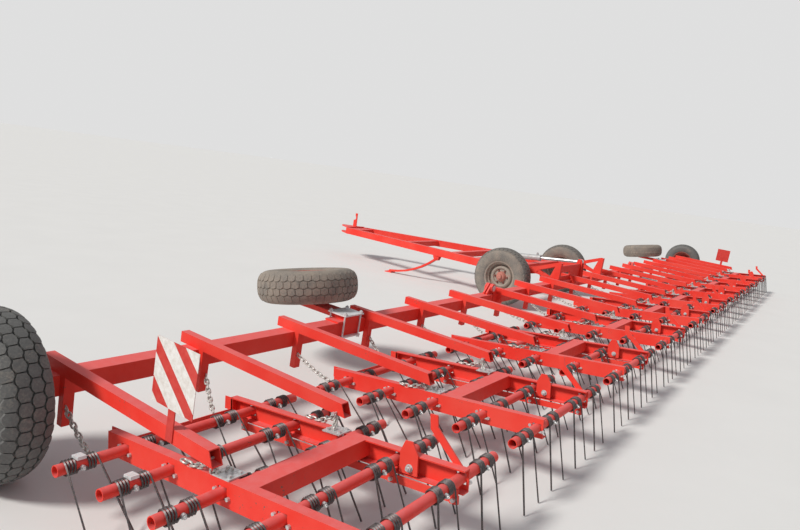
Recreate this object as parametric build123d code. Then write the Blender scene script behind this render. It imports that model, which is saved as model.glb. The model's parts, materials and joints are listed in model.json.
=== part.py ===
from build123d import *
import os
from math import acos, atan2, cos, degrees, hypot, pi, radians, sin, tan

# Trailed spring-tine harrow, 15 m wide, standing in its working position.
# X runs across the machine, Y forwards to the hitch, Z up; the ground is z = 0.
# While the pieces are shaped, y is measured from the axis of the main beam.

# Wheels
TYRE_RADIUS = 375.0
# Half width and radius of the tyre's outline, from its bead to the edge of its tread
TYRE_OUTLINE = ((96.0, 215.0), (120.0, 270.0), (112.0, 332.0), (85.0, 375.0))
TYRE_SIDES = 32
RIM_RADIUS = 196.0
RIM_WIDTH = 200.0
RIM_WALL = 9.0
RIM_SIDES = 16
DISC_THICKNESS = 10.0
DISC_OFFSET = 30.0
HUB_RADIUS = 62.0
HUB_INNER = 70.0
HUB_OUTER = 75.0
HUB_SIDES = 8
HUB_CAP_RADIUS = 34.0
HUB_CAP_LENGTH = 30.0
AXLE_RADIUS = 25.0
AXLE_ENGAGEMENT = 60.0
AXLE_END_GAP = 2.0
BEAD_CLEARANCE = 0.3

# Pins and the bores that turn on them have flat sides, the pin's edges inside the bore's flats.
PIN_SIDES = 12
HEAD_SIDES = 6
PIN_CLEARANCE = 0.05
PIN_HEAD = 8.0
SIDE_GAP = 1.0
SEAT_GAP = 0.3

# Main beam, in three lengths, with the arms that carry the sections
SECTION_PITCH = 1500.0
CENTRE_SECTION_COUNT = 4
WING_SECTION_COUNT = 3
BEAM_SIZE = 100.0
BEAM_WALL = 6.0
BEAM_HEIGHT = TYRE_RADIUS
BEAM_END = 7250.0
HINGE_X = 2750.0
HINGE_GAP = 20.0
ARM_DROP_DEGREES = 2.4
ARM_WIDTH = 50.0
ARM_DEPTH = 60.0
ARM_WALL = 4.0
ARM_FRONT = 106.0
ARM_BACK = 1098.0
ARM_CUT_BACK = 30.0
POST_THICKNESS = 40.0
POST_DROP = 185.0
END_WHEEL_GAP = 100.0

# Fold hinges of the wings
FOLD_PIN_RADIUS = 20.0
FOLD_PIN_RISE = 60.0
FOLD_EAR_RADIUS = 44.0
FOLD_EAR_THICKNESS = 16.0
FOLD_EAR_REACH = 95.0
FOLD_EAR_SPACING = 66.0

# Harrow sections
RAIL_SPAN = 714.0
RAIL_LENGTH = 1376.0
RAIL_DEPTH = 100.0
RAIL_FLANGE = 45.0
RAIL_WALL = 6.0
RAIL_FRONT = 380.0
FRONT_HEIGHT = 262.0
NOSE_DOWN_DEGREES = 5.2
PIPE_ROWS = 5
FIRST_PIPE = 127.0
PIPE_PITCH = 303.5
PIPE_DEPTH = 50.0
PIPE_SIZE = 48.0
PIPE_SIDES = 8
PIPE_LENGTH = 1300.0
PIPE_CLEARANCE = 0.3
CROSS_TUBE_BACK = 828.0
CROSS_TUBE_WIDTH = 100.0
CROSS_TUBE_DEPTH = 80.0
TINE_SETS = (-535.0, -185.0, 185.0, 535.0)
ROW_STAGGER = (-20.0, 10.0, -10.0, 14.0, 0.0)
TINE_GAUGE = 175.0
TINE_SIZE = 10.0
TINE_LENGTH = 345.0
TINE_GROUND_GAP = 5.0
LEG_SHARES = 8

# Linkage that sets the angle of a section's tines
STRIP_THICKNESS = 8.0
STRIP_WIDTH = 35.0
STRIP_DROP = 40.0
LEVER_WIDTH = 36.0
HANDLE = ((-20.0, 24.3), (20.0, 24.3), (160.0, 163.0), (166.0, 228.0), (130.0, 228.0), (125.0, 178.0))
LOCK_PLATE = ((-1160.0, -85.0), (-1070.0, -85.0), (-1070.0, 5.0), (-1095.0, 58.0), (-1130.0, 58.0), (-1160.0, 5.0))

# Draught chains and the hangers of the sections
CHAIN_DROP = 90.0
LINK_WIDTH = 26.0
LINK_THICKNESS = 8.0
LINK_PITCH = 60.0
CHAIN_END_GAP = 0.5
HANGER_INSET = 20.0

# Drawbar
AXLE_Y = 625.0
AXLE_TUBE_Y = 670.0
AXLE_TUBE_SIZE = 100.0
AXLE_TUBE_HALF = 945.0
SPINDLE_PLATE = 15.0
CENTRE_WHEEL_OFFSET = 155.0
CENTRE_WHEEL_X = AXLE_TUBE_HALF + CENTRE_WHEEL_OFFSET
DRAWBAR_Z = 450.0
DRAWBAR_WIDTH = 80.0
DRAWBAR_DEPTH = 100.0
DRAWBAR_REAR_HALF = 880.0
DRAWBAR_FRONT_HALF = 230.0
DRAWBAR_FRONT = 3950.0
CROSS_MEMBERS = ((1240.0, 80.0), (1680.0, 80.0), (2600.0, 80.0), (3850.0, 200.0))
CROSS_MEMBER_DEPTH = 80.0
HITCH_Y = 4190.0
HITCH_PLATE = 20.0
HITCH_MOUTH = 80.0
HITCH_BORE_RADIUS = 16.5
HITCH_TIP_RADIUS = 55.0
HITCH_BLOCK_HALF = 60.0
HITCH_BLOCK_LENGTH = 110.0
# Hose rest above the hitch: lengths ahead of the drawbar's front and heights above the hitch
HOSE_REST = ((0, 0), (0, 230), (40, 230), (40, 190), (25, 170), (25, 130), (70, 110), (70, 0))
HOSE_REST_THICKNESS = 12.0

# Tilt pivot of the beam on the drawbar
PIVOT_X = 880.0
PIVOT_FORWARD = 257.0
PIVOT_EAR = 30.0
PIVOT_RADIUS = 45.0
TILT_PIN_RADIUS = 20.0
MAST_THICKNESS = 12.0
MAST_TOP = 295.0
MAST_TOP_WIDTH = 50.0
MAST_FOOT_WIDTH = 110.0
# Window between a mast's upright and its two struts to the pivot: lengths forward and up
MAST_WINDOW = ((72.0, 92.0), (24.0, 238.0), (225.0, 150.0))
WEB_DROP = 50.0
SLOT_MARGIN = 90.0
SLOT_HEIGHT = 45.0
TILT_DEGREES = 90.0 + ARM_DROP_DEGREES

# Transport wheels on the wings
TRANSPORT_X = 5075.0
TRANSPORT_REACH = 395.5
TRANSPORT_RISE = 205.0
TRANSPORT_LEAN_DEGREES = 13.0
BRACKET_WIDTH = 150.0
BRACKET_DEPTH = 36.0
BRACKET_OVERHANG = 35.0
SADDLE_LENGTH = 300.0
SADDLE_THICKNESS = 12.0
SADDLE_OVERHANG = 10.0

# Tilt cylinder
BARREL_EYE_Y = 1240.0
BARREL_EYE_Z = 532.0
ROD_EYE_FORWARD = 10.0
ROD_EYE_UP = 264.0
BARREL_RADIUS = 42.0
BARREL_LENGTH = 673.0
ROD_RADIUS = 22.0
ROD_INSERTION = 150.0
BORE_DEPTH = 540.0
BARREL_NECK = 14.0
NECK_RADIUS = 24.0
PORT_INSET = 50.0
PORT_SIZE = 32.0
EYE_RADIUS = 38.0
EYE_WIDTH = 50.0
EAR_THICKNESS = 14.0
CYLINDER_PIN_RADIUS = 18.0
BARREL_SIDES = 16
BORE_OVERRUN = 1.0

# Parking stand
STAND_PIN_Y = 1900.0
STAND_PIN_Z = 358.0
STAND_FOOT_Y = 2700.0
STAND_FOOT_THICKNESS = 12.0
STAND_FOOT_LENGTH = 120.0
STAND_EYE_RADIUS = 26.0
STAND_BOW = 70.0
STAND_BOW_PARTS = 6
STAND_LUG = 10.0
STAND_WIDTH = 50.0
STAND_THICKNESS = 30.0
STAND_PIN_RADIUS = 12.0

# Warning boards
BOARD_BACK = 845.0
BOARD_WIDTH = 250.0
BOARD_LOW = 185.0
BOARD_HEIGHT = 260.0
BOARD_THICKNESS = 3.0
BOARD_BAR_THICKNESS = 5.0
BOARD_BAR_WIDTH = 40.0
BOARD_BAR_OVERLAP = 120.0

HALF_BEAM = BEAM_SIZE / 2
DROP = radians(ARM_DROP_DEGREES)
NOSE = radians(NOSE_DOWN_DEGREES)
LEAN = radians(TRANSPORT_LEAN_DEGREES)
# In transport the leaning wheels on the wings meet the ground on the edges of their treads.
TRANSPORT_CONTACT = TYRE_RADIUS * cos(LEAN) + TYRE_OUTLINE[-1][0] * sin(LEAN)
PIVOT_Z = TRANSPORT_REACH + TRANSPORT_CONTACT - PIVOT_FORWARD
PIVOT_UP = (PIVOT_Z - BEAM_HEIGHT - PIVOT_FORWARD * sin(DROP)) / cos(DROP)


def outline_along_x(points, start, end):
    """Prism with an outline of (y, z) points between two values of x."""
    face = make_face(Polyline(*points, close=True))
    return extrude(Plane.YZ.offset(start) * face, amount=end - start)


def outline_along_y(points, start, end):
    """Prism with an outline of (x, z) points between two values of y."""
    face = make_face(Polyline(*points, close=True))
    return extrude(Plane.XZ.offset(-start) * face, amount=start - end)


def outline_along_z(points, start, end):
    """Prism with an outline of (x, y) points between two values of z."""
    face = make_face(Polyline(*points, close=True))
    return extrude(Plane.XY.offset(start) * face, amount=end - start)


def block(x_range, y_range, z_range):
    """Box between two values on each axis."""
    size = [high - low for low, high in (x_range, y_range, z_range)]
    middle = [(high + low) / 2 for low, high in (x_range, y_range, z_range)]
    return Pos(*middle) * Box(*size)


def sided_bar(radius, sides, start, end, y=0, z=0):
    """Prism along X with a regular outline, its flats at the radius."""
    face = RegularPolygon(radius, sides, major_radius=False, rotation=180 / sides)
    return Pos(0, y, z) * extrude(Plane.YZ.offset(start) * face, amount=end - start)


def pin(radius, start, end, y=0, z=0):
    """Round pin along X, which turns inside the flats of its bores."""
    return Pos((start + end) / 2, y, z) * Rot(0, 90, 0) * Cylinder(radius, end - start)


def bore(radius, start, end, y=0, z=0):
    """Space of a bore along X for a pin of this radius."""
    return sided_bar(radius + PIN_CLEARANCE, PIN_SIDES, start, end, y, z)


def ring(x, radius, sides):
    """Corners of a regular outline square to X, its flats at the radius."""
    corner = radius / cos(pi / sides)
    turns = [2 * pi * (number + 0.5) / sides for number in range(sides)]
    return [(x, corner * sin(turn), corner * cos(turn)) for turn in turns]


def strip(first, second):
    """Flat faces between two rings with as many corners."""
    count = len(first)
    return [
        Face(Wire.make_polygon([first[number], first[number - 1], second[number - 1], second[number]]))
        for number in range(count)
    ]


def washer(outer, inner):
    """Flat face between two rings on one plane."""
    return Face(Wire.make_polygon(outer), [Wire.make_polygon(inner)])


def lid(corners):
    """Flat face over a ring."""
    return Face(Wire.make_polygon(corners))


def beam_point(forward, up):
    """World (y, z) of a place on the beam, from its axis and square to its arms."""
    y = forward * cos(DROP) - up * sin(DROP)
    z = BEAM_HEIGHT + forward * sin(DROP) + up * cos(DROP)
    return y, z


def set_on_beam(shape):
    """Turn a shape from the beam's own level frame to the slope of its arms."""
    return Pos(0, 0, BEAM_HEIGHT) * Rot(ARM_DROP_DEGREES, 0, 0) * shape


def drawbar_half(y):
    """Half of the distance between the drawbar's beams, on their centre lines."""
    share = (y - AXLE_TUBE_Y) / (DRAWBAR_FRONT - AXLE_TUBE_Y)
    return DRAWBAR_REAR_HALF + share * (DRAWBAR_FRONT_HALF - DRAWBAR_REAR_HALF)


def tyre():
    """Tyre on the X axis, from bead to bead over bulged sidewalls and a level tread."""
    left = [ring(-half, radius, TYRE_SIDES) for half, radius in TYRE_OUTLINE]
    right = [ring(half, radius, TYRE_SIDES) for half, radius in reversed(TYRE_OUTLINE)]
    outside = left + right
    bead_half = TYRE_OUTLINE[0][0]
    seats = [ring(x, RIM_RADIUS + BEAD_CLEARANCE, RIM_SIDES) for x in (-bead_half, bead_half)]
    faces = strip(*seats)
    for first, second in zip(outside, outside[1:]):
        faces += strip(first, second)
    faces.append(washer(outside[0], seats[0]))
    faces.append(washer(outside[-1], seats[1]))
    return Solid(Shell(faces))


def rim():
    """Wheel on the X axis, its disc and hub cap towards +X, its axle bore from -X."""
    half = RIM_WIDTH / 2
    inside = RIM_RADIUS - RIM_WALL
    disc_front = DISC_OFFSET + DISC_THICKNESS
    bore_radius = AXLE_RADIUS + PIN_CLEARANCE
    bore_end = AXLE_ENGAGEMENT + AXLE_END_GAP
    cap_end = HUB_OUTER + HUB_CAP_LENGTH
    outer = [ring(x, RIM_RADIUS, RIM_SIDES) for x in (-half, half)]
    front = [ring(x, inside, RIM_SIDES) for x in (half, disc_front)]
    back = [ring(x, inside, RIM_SIDES) for x in (-half, DISC_OFFSET)]
    hub_front = [ring(x, HUB_RADIUS, HUB_SIDES) for x in (disc_front, HUB_OUTER)]
    hub_back = [ring(x, HUB_RADIUS, HUB_SIDES) for x in (DISC_OFFSET, -HUB_INNER)]
    cap = [ring(x, HUB_CAP_RADIUS, HUB_SIDES) for x in (HUB_OUTER, cap_end)]
    hole = [ring(x, bore_radius, HUB_SIDES) for x in (-HUB_INNER, bore_end)]
    faces = []
    for first, second in (outer, front, back, hub_front, hub_back, cap, hole):
        faces += strip(first, second)
    faces += [washer(outer[1], front[0]), washer(front[1], hub_front[0]), washer(hub_front[1], cap[0])]
    faces += [washer(outer[0], back[0]), washer(back[1], hub_back[0]), washer(hub_back[1], hole[0])]
    return Solid(Shell(faces + [lid(cap[1]), lid(hole[1])]))


def arm(x):
    """Square arm lying across the beam, open at both ends, its rear end cut slanting."""
    low = HALF_BEAM
    high = HALF_BEAM + ARM_DEPTH
    side = (
        (ARM_FRONT, low),
        (ARM_FRONT, high),
        (ARM_CUT_BACK - ARM_BACK, high),
        (-ARM_BACK, low),
    )
    body = outline_along_x(side, x - ARM_WIDTH / 2, x + ARM_WIDTH / 2)
    half_inside = ARM_WIDTH / 2 - ARM_WALL
    inside = block(
        (x - half_inside, x + half_inside),
        (-ARM_BACK, ARM_FRONT),
        (low + ARM_WALL, high - ARM_WALL),
    )
    return body - inside


def post(x):
    """Post behind the beam, from under the arm down to the draught chain."""
    return block(
        (x - ARM_WIDTH / 2, x + ARM_WIDTH / 2),
        (-HALF_BEAM - POST_THICKNESS, -HALF_BEAM),
        (-POST_DROP, HALF_BEAM),
    )


def beam_length(start, end):
    """Square tube along X."""
    outside = block((start, end), (-HALF_BEAM, HALF_BEAM), (-HALF_BEAM, HALF_BEAM))
    half_inside = HALF_BEAM - BEAM_WALL
    inside = block(
        (start + BEAM_WALL, end - BEAM_WALL),
        (-half_inside, half_inside),
        (-half_inside, half_inside),
    )
    return outside - inside


def fold_ear(side, towards, middle):
    """Hinge ear on a beam's end: a plate square to Y with the pin's bore in its eight-sided nose."""
    pin_x = side * HINGE_X
    pin_z = HALF_BEAM + FOLD_PIN_RISE
    near = pin_x - towards * HINGE_GAP / 2
    far = pin_x - towards * FOLD_EAR_REACH
    radius = FOLD_EAR_RADIUS
    flat = radius * tan(pi / 8)
    plate = outline_along_y(
        (
            (near, HALF_BEAM),
            (near, pin_z - radius),
            (pin_x + towards * flat, pin_z - radius),
            (pin_x + towards * radius, pin_z - flat),
            (pin_x + towards * radius, pin_z + flat),
            (pin_x + towards * flat, pin_z + radius),
            (pin_x - towards * flat, pin_z + radius),
            (far, HALF_BEAM + FOLD_EAR_THICKNESS),
            (far, HALF_BEAM),
        ),
        middle - FOLD_EAR_THICKNESS / 2,
        middle + FOLD_EAR_THICKNESS / 2,
    )
    hole = bore(FOLD_PIN_RADIUS, -FOLD_EAR_THICKNESS, FOLD_EAR_THICKNESS)
    return plate - Pos(pin_x, middle, pin_z) * Rot(0, 0, 90) * hole


def fold_pin(side):
    """Pin of a wing's fold hinge, with a head at each end."""
    half = FOLD_EAR_SPACING / 2 + FOLD_EAR_THICKNESS / 2 + SEAT_GAP
    place = Pos(side * HINGE_X, 0, HALF_BEAM + FOLD_PIN_RISE) * Rot(0, 0, 90)
    body = pin(FOLD_PIN_RADIUS, -half, half)
    for start in (-half - PIN_HEAD, half):
        body += sided_bar(FOLD_PIN_RADIUS + PIN_HEAD, HEAD_SIDES, start, start + PIN_HEAD)
    return place * body


def arm_places(start, sections):
    """The x of the arms over a row of sections that starts at one edge."""
    pitch = SECTION_PITCH / 2
    return [start + pitch / 2 + pitch * number for number in range(2 * sections)]


def centre_beam():
    """Middle length of the beam with its arms, posts and the outer fold ears."""
    end = HINGE_X - HINGE_GAP / 2
    body = beam_length(-end, end)
    for x in arm_places(-CENTRE_SECTION_COUNT * SECTION_PITCH / 2, CENTRE_SECTION_COUNT):
        body += arm(x)
        body += post(x)
    for side in (-1, 1):
        for middle in (-FOLD_EAR_SPACING / 2, FOLD_EAR_SPACING / 2):
            body += fold_ear(side, side, middle)
    return body


def wing_beam(side):
    """Wing's length of the beam with its arms, posts, fold ears and end axle."""
    start = HINGE_X + HINGE_GAP / 2
    body = beam_length(start, BEAM_END)
    for x in arm_places(CENTRE_SECTION_COUNT * SECTION_PITCH / 2, WING_SECTION_COUNT):
        body += arm(x)
        body += post(x)
    offset = FOLD_EAR_SPACING / 2 - FOLD_EAR_THICKNESS - SIDE_GAP
    for middle in (-offset, offset):
        body += fold_ear(1, -1, middle)
    body += axle(BEAM_END, end_wheel_x() + AXLE_ENGAGEMENT)
    return mirrored(body, side)


def axle(start, end, y=0, z=0):
    """Round wheel spindle along X, inside the flats of the hub's bore."""
    return pin(AXLE_RADIUS, start, end, y, z)


def mirrored(shape, side):
    """The shape as made for the +X side, or its mirror image on the -X side."""
    return shape if side > 0 else mirror(shape, about=Plane.YZ)


def end_wheel_x():
    """Middle plane of an end wheel, its hub just outside the beam's end."""
    return BEAM_END + END_WHEEL_GAP + HUB_INNER


def mast(side):
    """Pair of plates on the beam that carry the tilt pivot ahead of it."""
    outline = (
        (-HALF_BEAM, HALF_BEAM),
        (-HALF_BEAM, MAST_TOP),
        (MAST_TOP_WIDTH - HALF_BEAM, MAST_TOP),
        (PIVOT_FORWARD + PIVOT_RADIUS / 2, PIVOT_UP + PIVOT_RADIUS),
        (PIVOT_FORWARD + PIVOT_RADIUS, PIVOT_UP),
        (PIVOT_FORWARD + PIVOT_RADIUS / 2, PIVOT_UP - PIVOT_RADIUS),
        (PIVOT_FORWARD - PIVOT_RADIUS / 2, PIVOT_UP - PIVOT_RADIUS),
        (MAST_FOOT_WIDTH - HALF_BEAM, HALF_BEAM),
    )
    body = Part()
    for offset in (-1, 1):
        inner = PIVOT_X + offset * (PIVOT_EAR / 2 + SIDE_GAP)
        outer = inner + offset * MAST_THICKNESS
        start, end = sorted((inner, outer))
        body += outline_along_x(outline, start, end) - outline_along_x(MAST_WINDOW, start, end)
    body -= bore(TILT_PIN_RADIUS, PIVOT_X - PIVOT_EAR, PIVOT_X + PIVOT_EAR, PIVOT_FORWARD, PIVOT_UP)
    inner_half = PIVOT_EAR / 2 + SIDE_GAP
    body += block(
        (PIVOT_X - inner_half, PIVOT_X + inner_half),
        (-HALF_BEAM, MAST_THICKNESS - HALF_BEAM),
        (HALF_BEAM, MAST_TOP),
    )
    return mirrored(body, side)


def cylinder_anchor():
    """Plate along the beam between the masts, with the two ears of the rod's clevis."""
    inner = EYE_WIDTH / 2 + 2 * SIDE_GAP
    outer = inner + EAR_THICKNESS
    mast_face = PIVOT_X - PIVOT_EAR / 2 - SIDE_GAP - MAST_THICKNESS
    body = Part()
    ear = (
        (-HALF_BEAM, HALF_BEAM),
        (ROD_EYE_FORWARD - EYE_RADIUS, ROD_EYE_UP),
        (ROD_EYE_FORWARD - EYE_RADIUS / 2, ROD_EYE_UP + EYE_RADIUS),
        (ROD_EYE_FORWARD + EYE_RADIUS / 2, ROD_EYE_UP + EYE_RADIUS),
        (ROD_EYE_FORWARD + EYE_RADIUS, ROD_EYE_UP),
        (HALF_BEAM, HALF_BEAM),
    )
    web_top = MAST_TOP - WEB_DROP
    for side in (-1, 1):
        body += outline_along_x(ear, min(side * inner, side * outer), max(side * inner, side * outer))
        head = side * (outer + PIN_HEAD)
        start, end = sorted((side * outer, head))
        body += sided_bar(CYLINDER_PIN_RADIUS, HEAD_SIDES, start, end, ROD_EYE_FORWARD, ROD_EYE_UP)
    web = block((-mast_face, -outer), (-MAST_THICKNESS, 0), (HALF_BEAM, web_top))
    arm_top = HALF_BEAM + ARM_DEPTH
    arm_x = -SECTION_PITCH / 4
    notch = block(
        (arm_x - ARM_WIDTH / 2, arm_x + ARM_WIDTH / 2),
        (-2 * MAST_THICKNESS, MAST_THICKNESS),
        (HALF_BEAM, arm_top),
    )
    slot = block(
        (-mast_face + SLOT_MARGIN, arm_x - ARM_WIDTH),
        (-2 * MAST_THICKNESS, MAST_THICKNESS),
        (arm_top, arm_top + SLOT_HEIGHT),
    )
    return body + web - notch - slot


def transport_bracket(side):
    """Saddle on the wing's beam with an arm forward to the upright transport axle."""
    x = TRANSPORT_X
    saddle_half = HALF_BEAM + SADDLE_OVERHANG
    saddle_top = HALF_BEAM + SADDLE_THICKNESS
    body = block(
        (x - SADDLE_LENGTH / 2, x + SADDLE_LENGTH / 2),
        (-saddle_half, saddle_half),
        (HALF_BEAM, saddle_top),
    )
    arm_top = saddle_top + BRACKET_DEPTH
    body += block(
        (x - BRACKET_WIDTH / 2, x + BRACKET_WIDTH / 2),
        (-saddle_half, TRANSPORT_REACH + BRACKET_OVERHANG),
        (saddle_top, arm_top),
    )
    foot = (TRANSPORT_RISE - (saddle_top + arm_top) / 2) / cos(LEAN)
    body += transport_place() * axle(-foot, AXLE_ENGAGEMENT)
    return mirrored(body, side)


def transport_place():
    """Location of the right transport wheel on the level beam, its axis leaning forward."""
    lean = Rot(-TRANSPORT_LEAN_DEGREES, 0, 0)
    return Pos(TRANSPORT_X, TRANSPORT_REACH, TRANSPORT_RISE) * lean * Rot(0, -90, 0)


def warning_board(side):
    """Square board on a flat bar on the outermost arm."""
    arm_face = arm_places(CENTRE_SECTION_COUNT * SECTION_PITCH / 2, WING_SECTION_COUNT)[-1] + ARM_WIDTH / 2
    face = arm_face + BOARD_BAR_THICKNESS
    half_bar = BOARD_BAR_WIDTH / 2
    bar = block(
        (arm_face, face),
        (-BOARD_BACK - half_bar, half_bar - BOARD_BACK),
        (HALF_BEAM + BOARD_BAR_THICKNESS, BOARD_LOW + BOARD_BAR_OVERLAP),
    )
    board = block(
        (face, face + BOARD_THICKNESS),
        (-BOARD_BACK - BOARD_WIDTH / 2, BOARD_WIDTH / 2 - BOARD_BACK),
        (BOARD_LOW, BOARD_LOW + BOARD_HEIGHT),
    )
    return mirrored(bar + board, side)


def pipe_places():
    """Distance of each tine pipe behind the front of its section."""
    return [FIRST_PIPE + PIPE_PITCH * row for row in range(PIPE_ROWS)]


def rail(side):
    """Channel rail, open towards the middle of the section and closed in front, with a hole for
    each pipe."""
    face = RAIL_SPAN / 2
    low = -RAIL_DEPTH
    channel = (
        (face, 0),
        (face - RAIL_FLANGE, 0),
        (face - RAIL_FLANGE, -RAIL_WALL),
        (face - RAIL_WALL, -RAIL_WALL),
        (face - RAIL_WALL, low + RAIL_WALL),
        (face - RAIL_FLANGE, low + RAIL_WALL),
        (face - RAIL_FLANGE, low),
        (face, low),
    )
    body = outline_along_y(channel, -RAIL_LENGTH, 0)
    body += block((face - RAIL_FLANGE, face), (-RAIL_WALL, 0), (low, 0))
    half_hole = PIPE_SIZE / 2 + PIPE_CLEARANCE
    for back in pipe_places():
        body -= block(
            (face - 2 * RAIL_WALL, face + RAIL_WALL),
            (-back - half_hole, half_hole - back),
            (-PIPE_DEPTH - half_hole, half_hole - PIPE_DEPTH),
        )
    return mirrored(body, side)


def section_frame():
    """Two rails joined by a square cross tube, from the section's front at y = 0."""
    inner = RAIL_SPAN / 2 - RAIL_WALL
    half = CROSS_TUBE_WIDTH / 2
    tube = block((-inner, inner), (-CROSS_TUBE_BACK - half, half - CROSS_TUBE_BACK), (-CROSS_TUBE_DEPTH, 0))
    return rail(-1) + rail(1) + tube


def tine_linkage():
    """Solids that set the tines' angle, along the right rail: levers under the pipes, the strip that
    joins them, the last pipe's handle and the plate that locks it."""
    strip_start = RAIL_SPAN / 2 - RAIL_FLANGE - STRIP_THICKNESS
    strip_low = -RAIL_DEPTH - STRIP_DROP
    backs = pipe_places()
    half = LEVER_WIDTH / 2
    solids = [
        block(
            (strip_start, strip_start + STRIP_THICKNESS),
            (-backs[-1] - half, half - backs[0]),
            (strip_low, strip_low + STRIP_WIDTH),
        )
    ]
    lever_end = strip_start - SEAT_GAP
    lever_top = -PIPE_DEPTH - PIPE_SIZE / 2 - SEAT_GAP
    for back in backs:
        rear, front = -back - half, half - back
        lever = ((rear, strip_low), (front, strip_low), (front, lever_top), (rear, lever_top))
        solids.append(outline_along_x(lever, lever_end - STRIP_THICKNESS, lever_end))
    handle = [(y - backs[-1], z - PIPE_DEPTH) for y, z in HANDLE]
    handle_start = RAIL_SPAN / 2 + SEAT_GAP
    solids.append(outline_along_x(handle, handle_start, handle_start + STRIP_THICKNESS))
    lock_end = RAIL_SPAN / 2 - RAIL_FLANGE - SEAT_GAP
    solids.append(outline_along_x(LOCK_PLATE, lock_end - STRIP_THICKNESS, lock_end))
    return solids


def pipe_edge(direction, offset):
    """Distance from a pipe's axis to its outline along a direction, at an offset to its side."""
    reaches = []
    for number in range(PIPE_SIDES):
        turn = 2 * pi * number / PIPE_SIDES - direction
        if cos(turn) > cos(pi / 4):
            reaches.append((PIPE_SIZE / 2 - offset * sin(turn)) / cos(turn))
    return min(reaches)


def tine_leg(x, back):
    """One leg of a spring tine, a thin bar from beside its pipe down and back to the ground, the leg
    leaning back as far as its pipe's height makes it."""
    height = section_point(back, PIPE_DEPTH)[1]
    lean = degrees(acos((height - TINE_GROUND_GAP) / TINE_LENGTH))
    on_section = lean - NOSE_DOWN_DEGREES
    offsets = [TINE_SIZE / 2 * share / LEG_SHARES for share in range(-LEG_SHARES, LEG_SHARES + 1)]
    start = max(pipe_edge(radians(on_section), offset) for offset in offsets) + SEAT_GAP
    face = RegularPolygon(TINE_SIZE / 2, 3, major_radius=True)
    bar = extrude(face, amount=start - TINE_LENGTH)
    return Pos(x, -back, -PIPE_DEPTH) * Rot(-on_section, 0, 0) * Pos(0, 0, -start) * bar


def tine_bars():
    """Solids of the five tine pipes of a section with the legs of their tines."""
    solids = []
    for back, stagger in zip(pipe_places(), ROW_STAGGER):
        pipe = sided_bar(PIPE_SIZE / 2, PIPE_SIDES, -PIPE_LENGTH / 2, PIPE_LENGTH / 2)
        solids.append(Pos(0, -back, -PIPE_DEPTH) * pipe)
        for middle in TINE_SETS:
            for side in (-1, 1):
                solids.append(tine_leg(middle + stagger + side * TINE_GAUGE / 2, back))
    return solids


def section_point(back, down):
    """World (y, z) of a place on a section, from its front edge at its rails' tops."""
    y = -RAIL_FRONT - back * cos(NOSE) - down * sin(NOSE)
    z = FRONT_HEIGHT + back * sin(NOSE) - down * cos(NOSE)
    return y, z


def pipe_corner():
    """Distance from a tine pipe's axis to its edges."""
    return PIPE_SIZE / 2 / cos(pi / PIPE_SIDES)


def draught_chain(x):
    """Links, turned about in turn, from a post back to the first tine pipe."""
    start_y, start_z = beam_point(-HALF_BEAM - POST_THICKNESS, -CHAIN_DROP)
    end_y, end_z = section_point(FIRST_PIPE, PIPE_DEPTH)
    slope = atan2(end_z - start_z, start_y - end_y)
    offset = SEAT_GAP + LINK_WIDTH / 2 * tan(abs(slope + DROP))
    run = hypot(end_y - start_y, end_z - start_z) - offset - CHAIN_END_GAP - pipe_corner()
    count = round(run / LINK_PITCH)
    pitch = run / count
    place = Pos(x, start_y, start_z) * Rot(-degrees(slope), 0, 0) * Pos(0, -offset, 0)
    links = []
    for number in range(count):
        wide, thin = (LINK_WIDTH, LINK_THICKNESS) if number % 2 else (LINK_THICKNESS, LINK_WIDTH)
        link = Box(wide, pitch - SEAT_GAP, thin)
        links.append(place * Pos(0, -pitch * (number + 0.5), 0) * link)
    return links


def hanger(x):
    """Two links that hang a rail from the rear end of the arm above."""
    back = (ARM_BACK - ARM_CUT_BACK - HANGER_INSET - RAIL_FRONT) / cos(NOSE)
    solids = []
    for number, (wide, deep) in enumerate(((LINK_THICKNESS, LINK_WIDTH), (LINK_WIDTH, LINK_THICKNESS))):
        edges = []
        for sign in (-1, 1):
            foot = section_point(back + sign * deep / 2, 0)
            top = beam_point(foot[0], HALF_BEAM - SEAT_GAP)[1]
            rise = (top - foot[1]) / 2
            low = foot[1] + number * (rise + SEAT_GAP)
            edges.append((foot[0], low, low + rise - number * SEAT_GAP))
        (front, front_low, front_high), (rear, rear_low, rear_high) = edges
        outline = ((front, front_low), (rear, rear_low), (rear, rear_high), (front, front_high))
        solids.append(outline_along_x(outline, x - wide / 2, x + wide / 2))
    return solids


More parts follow.
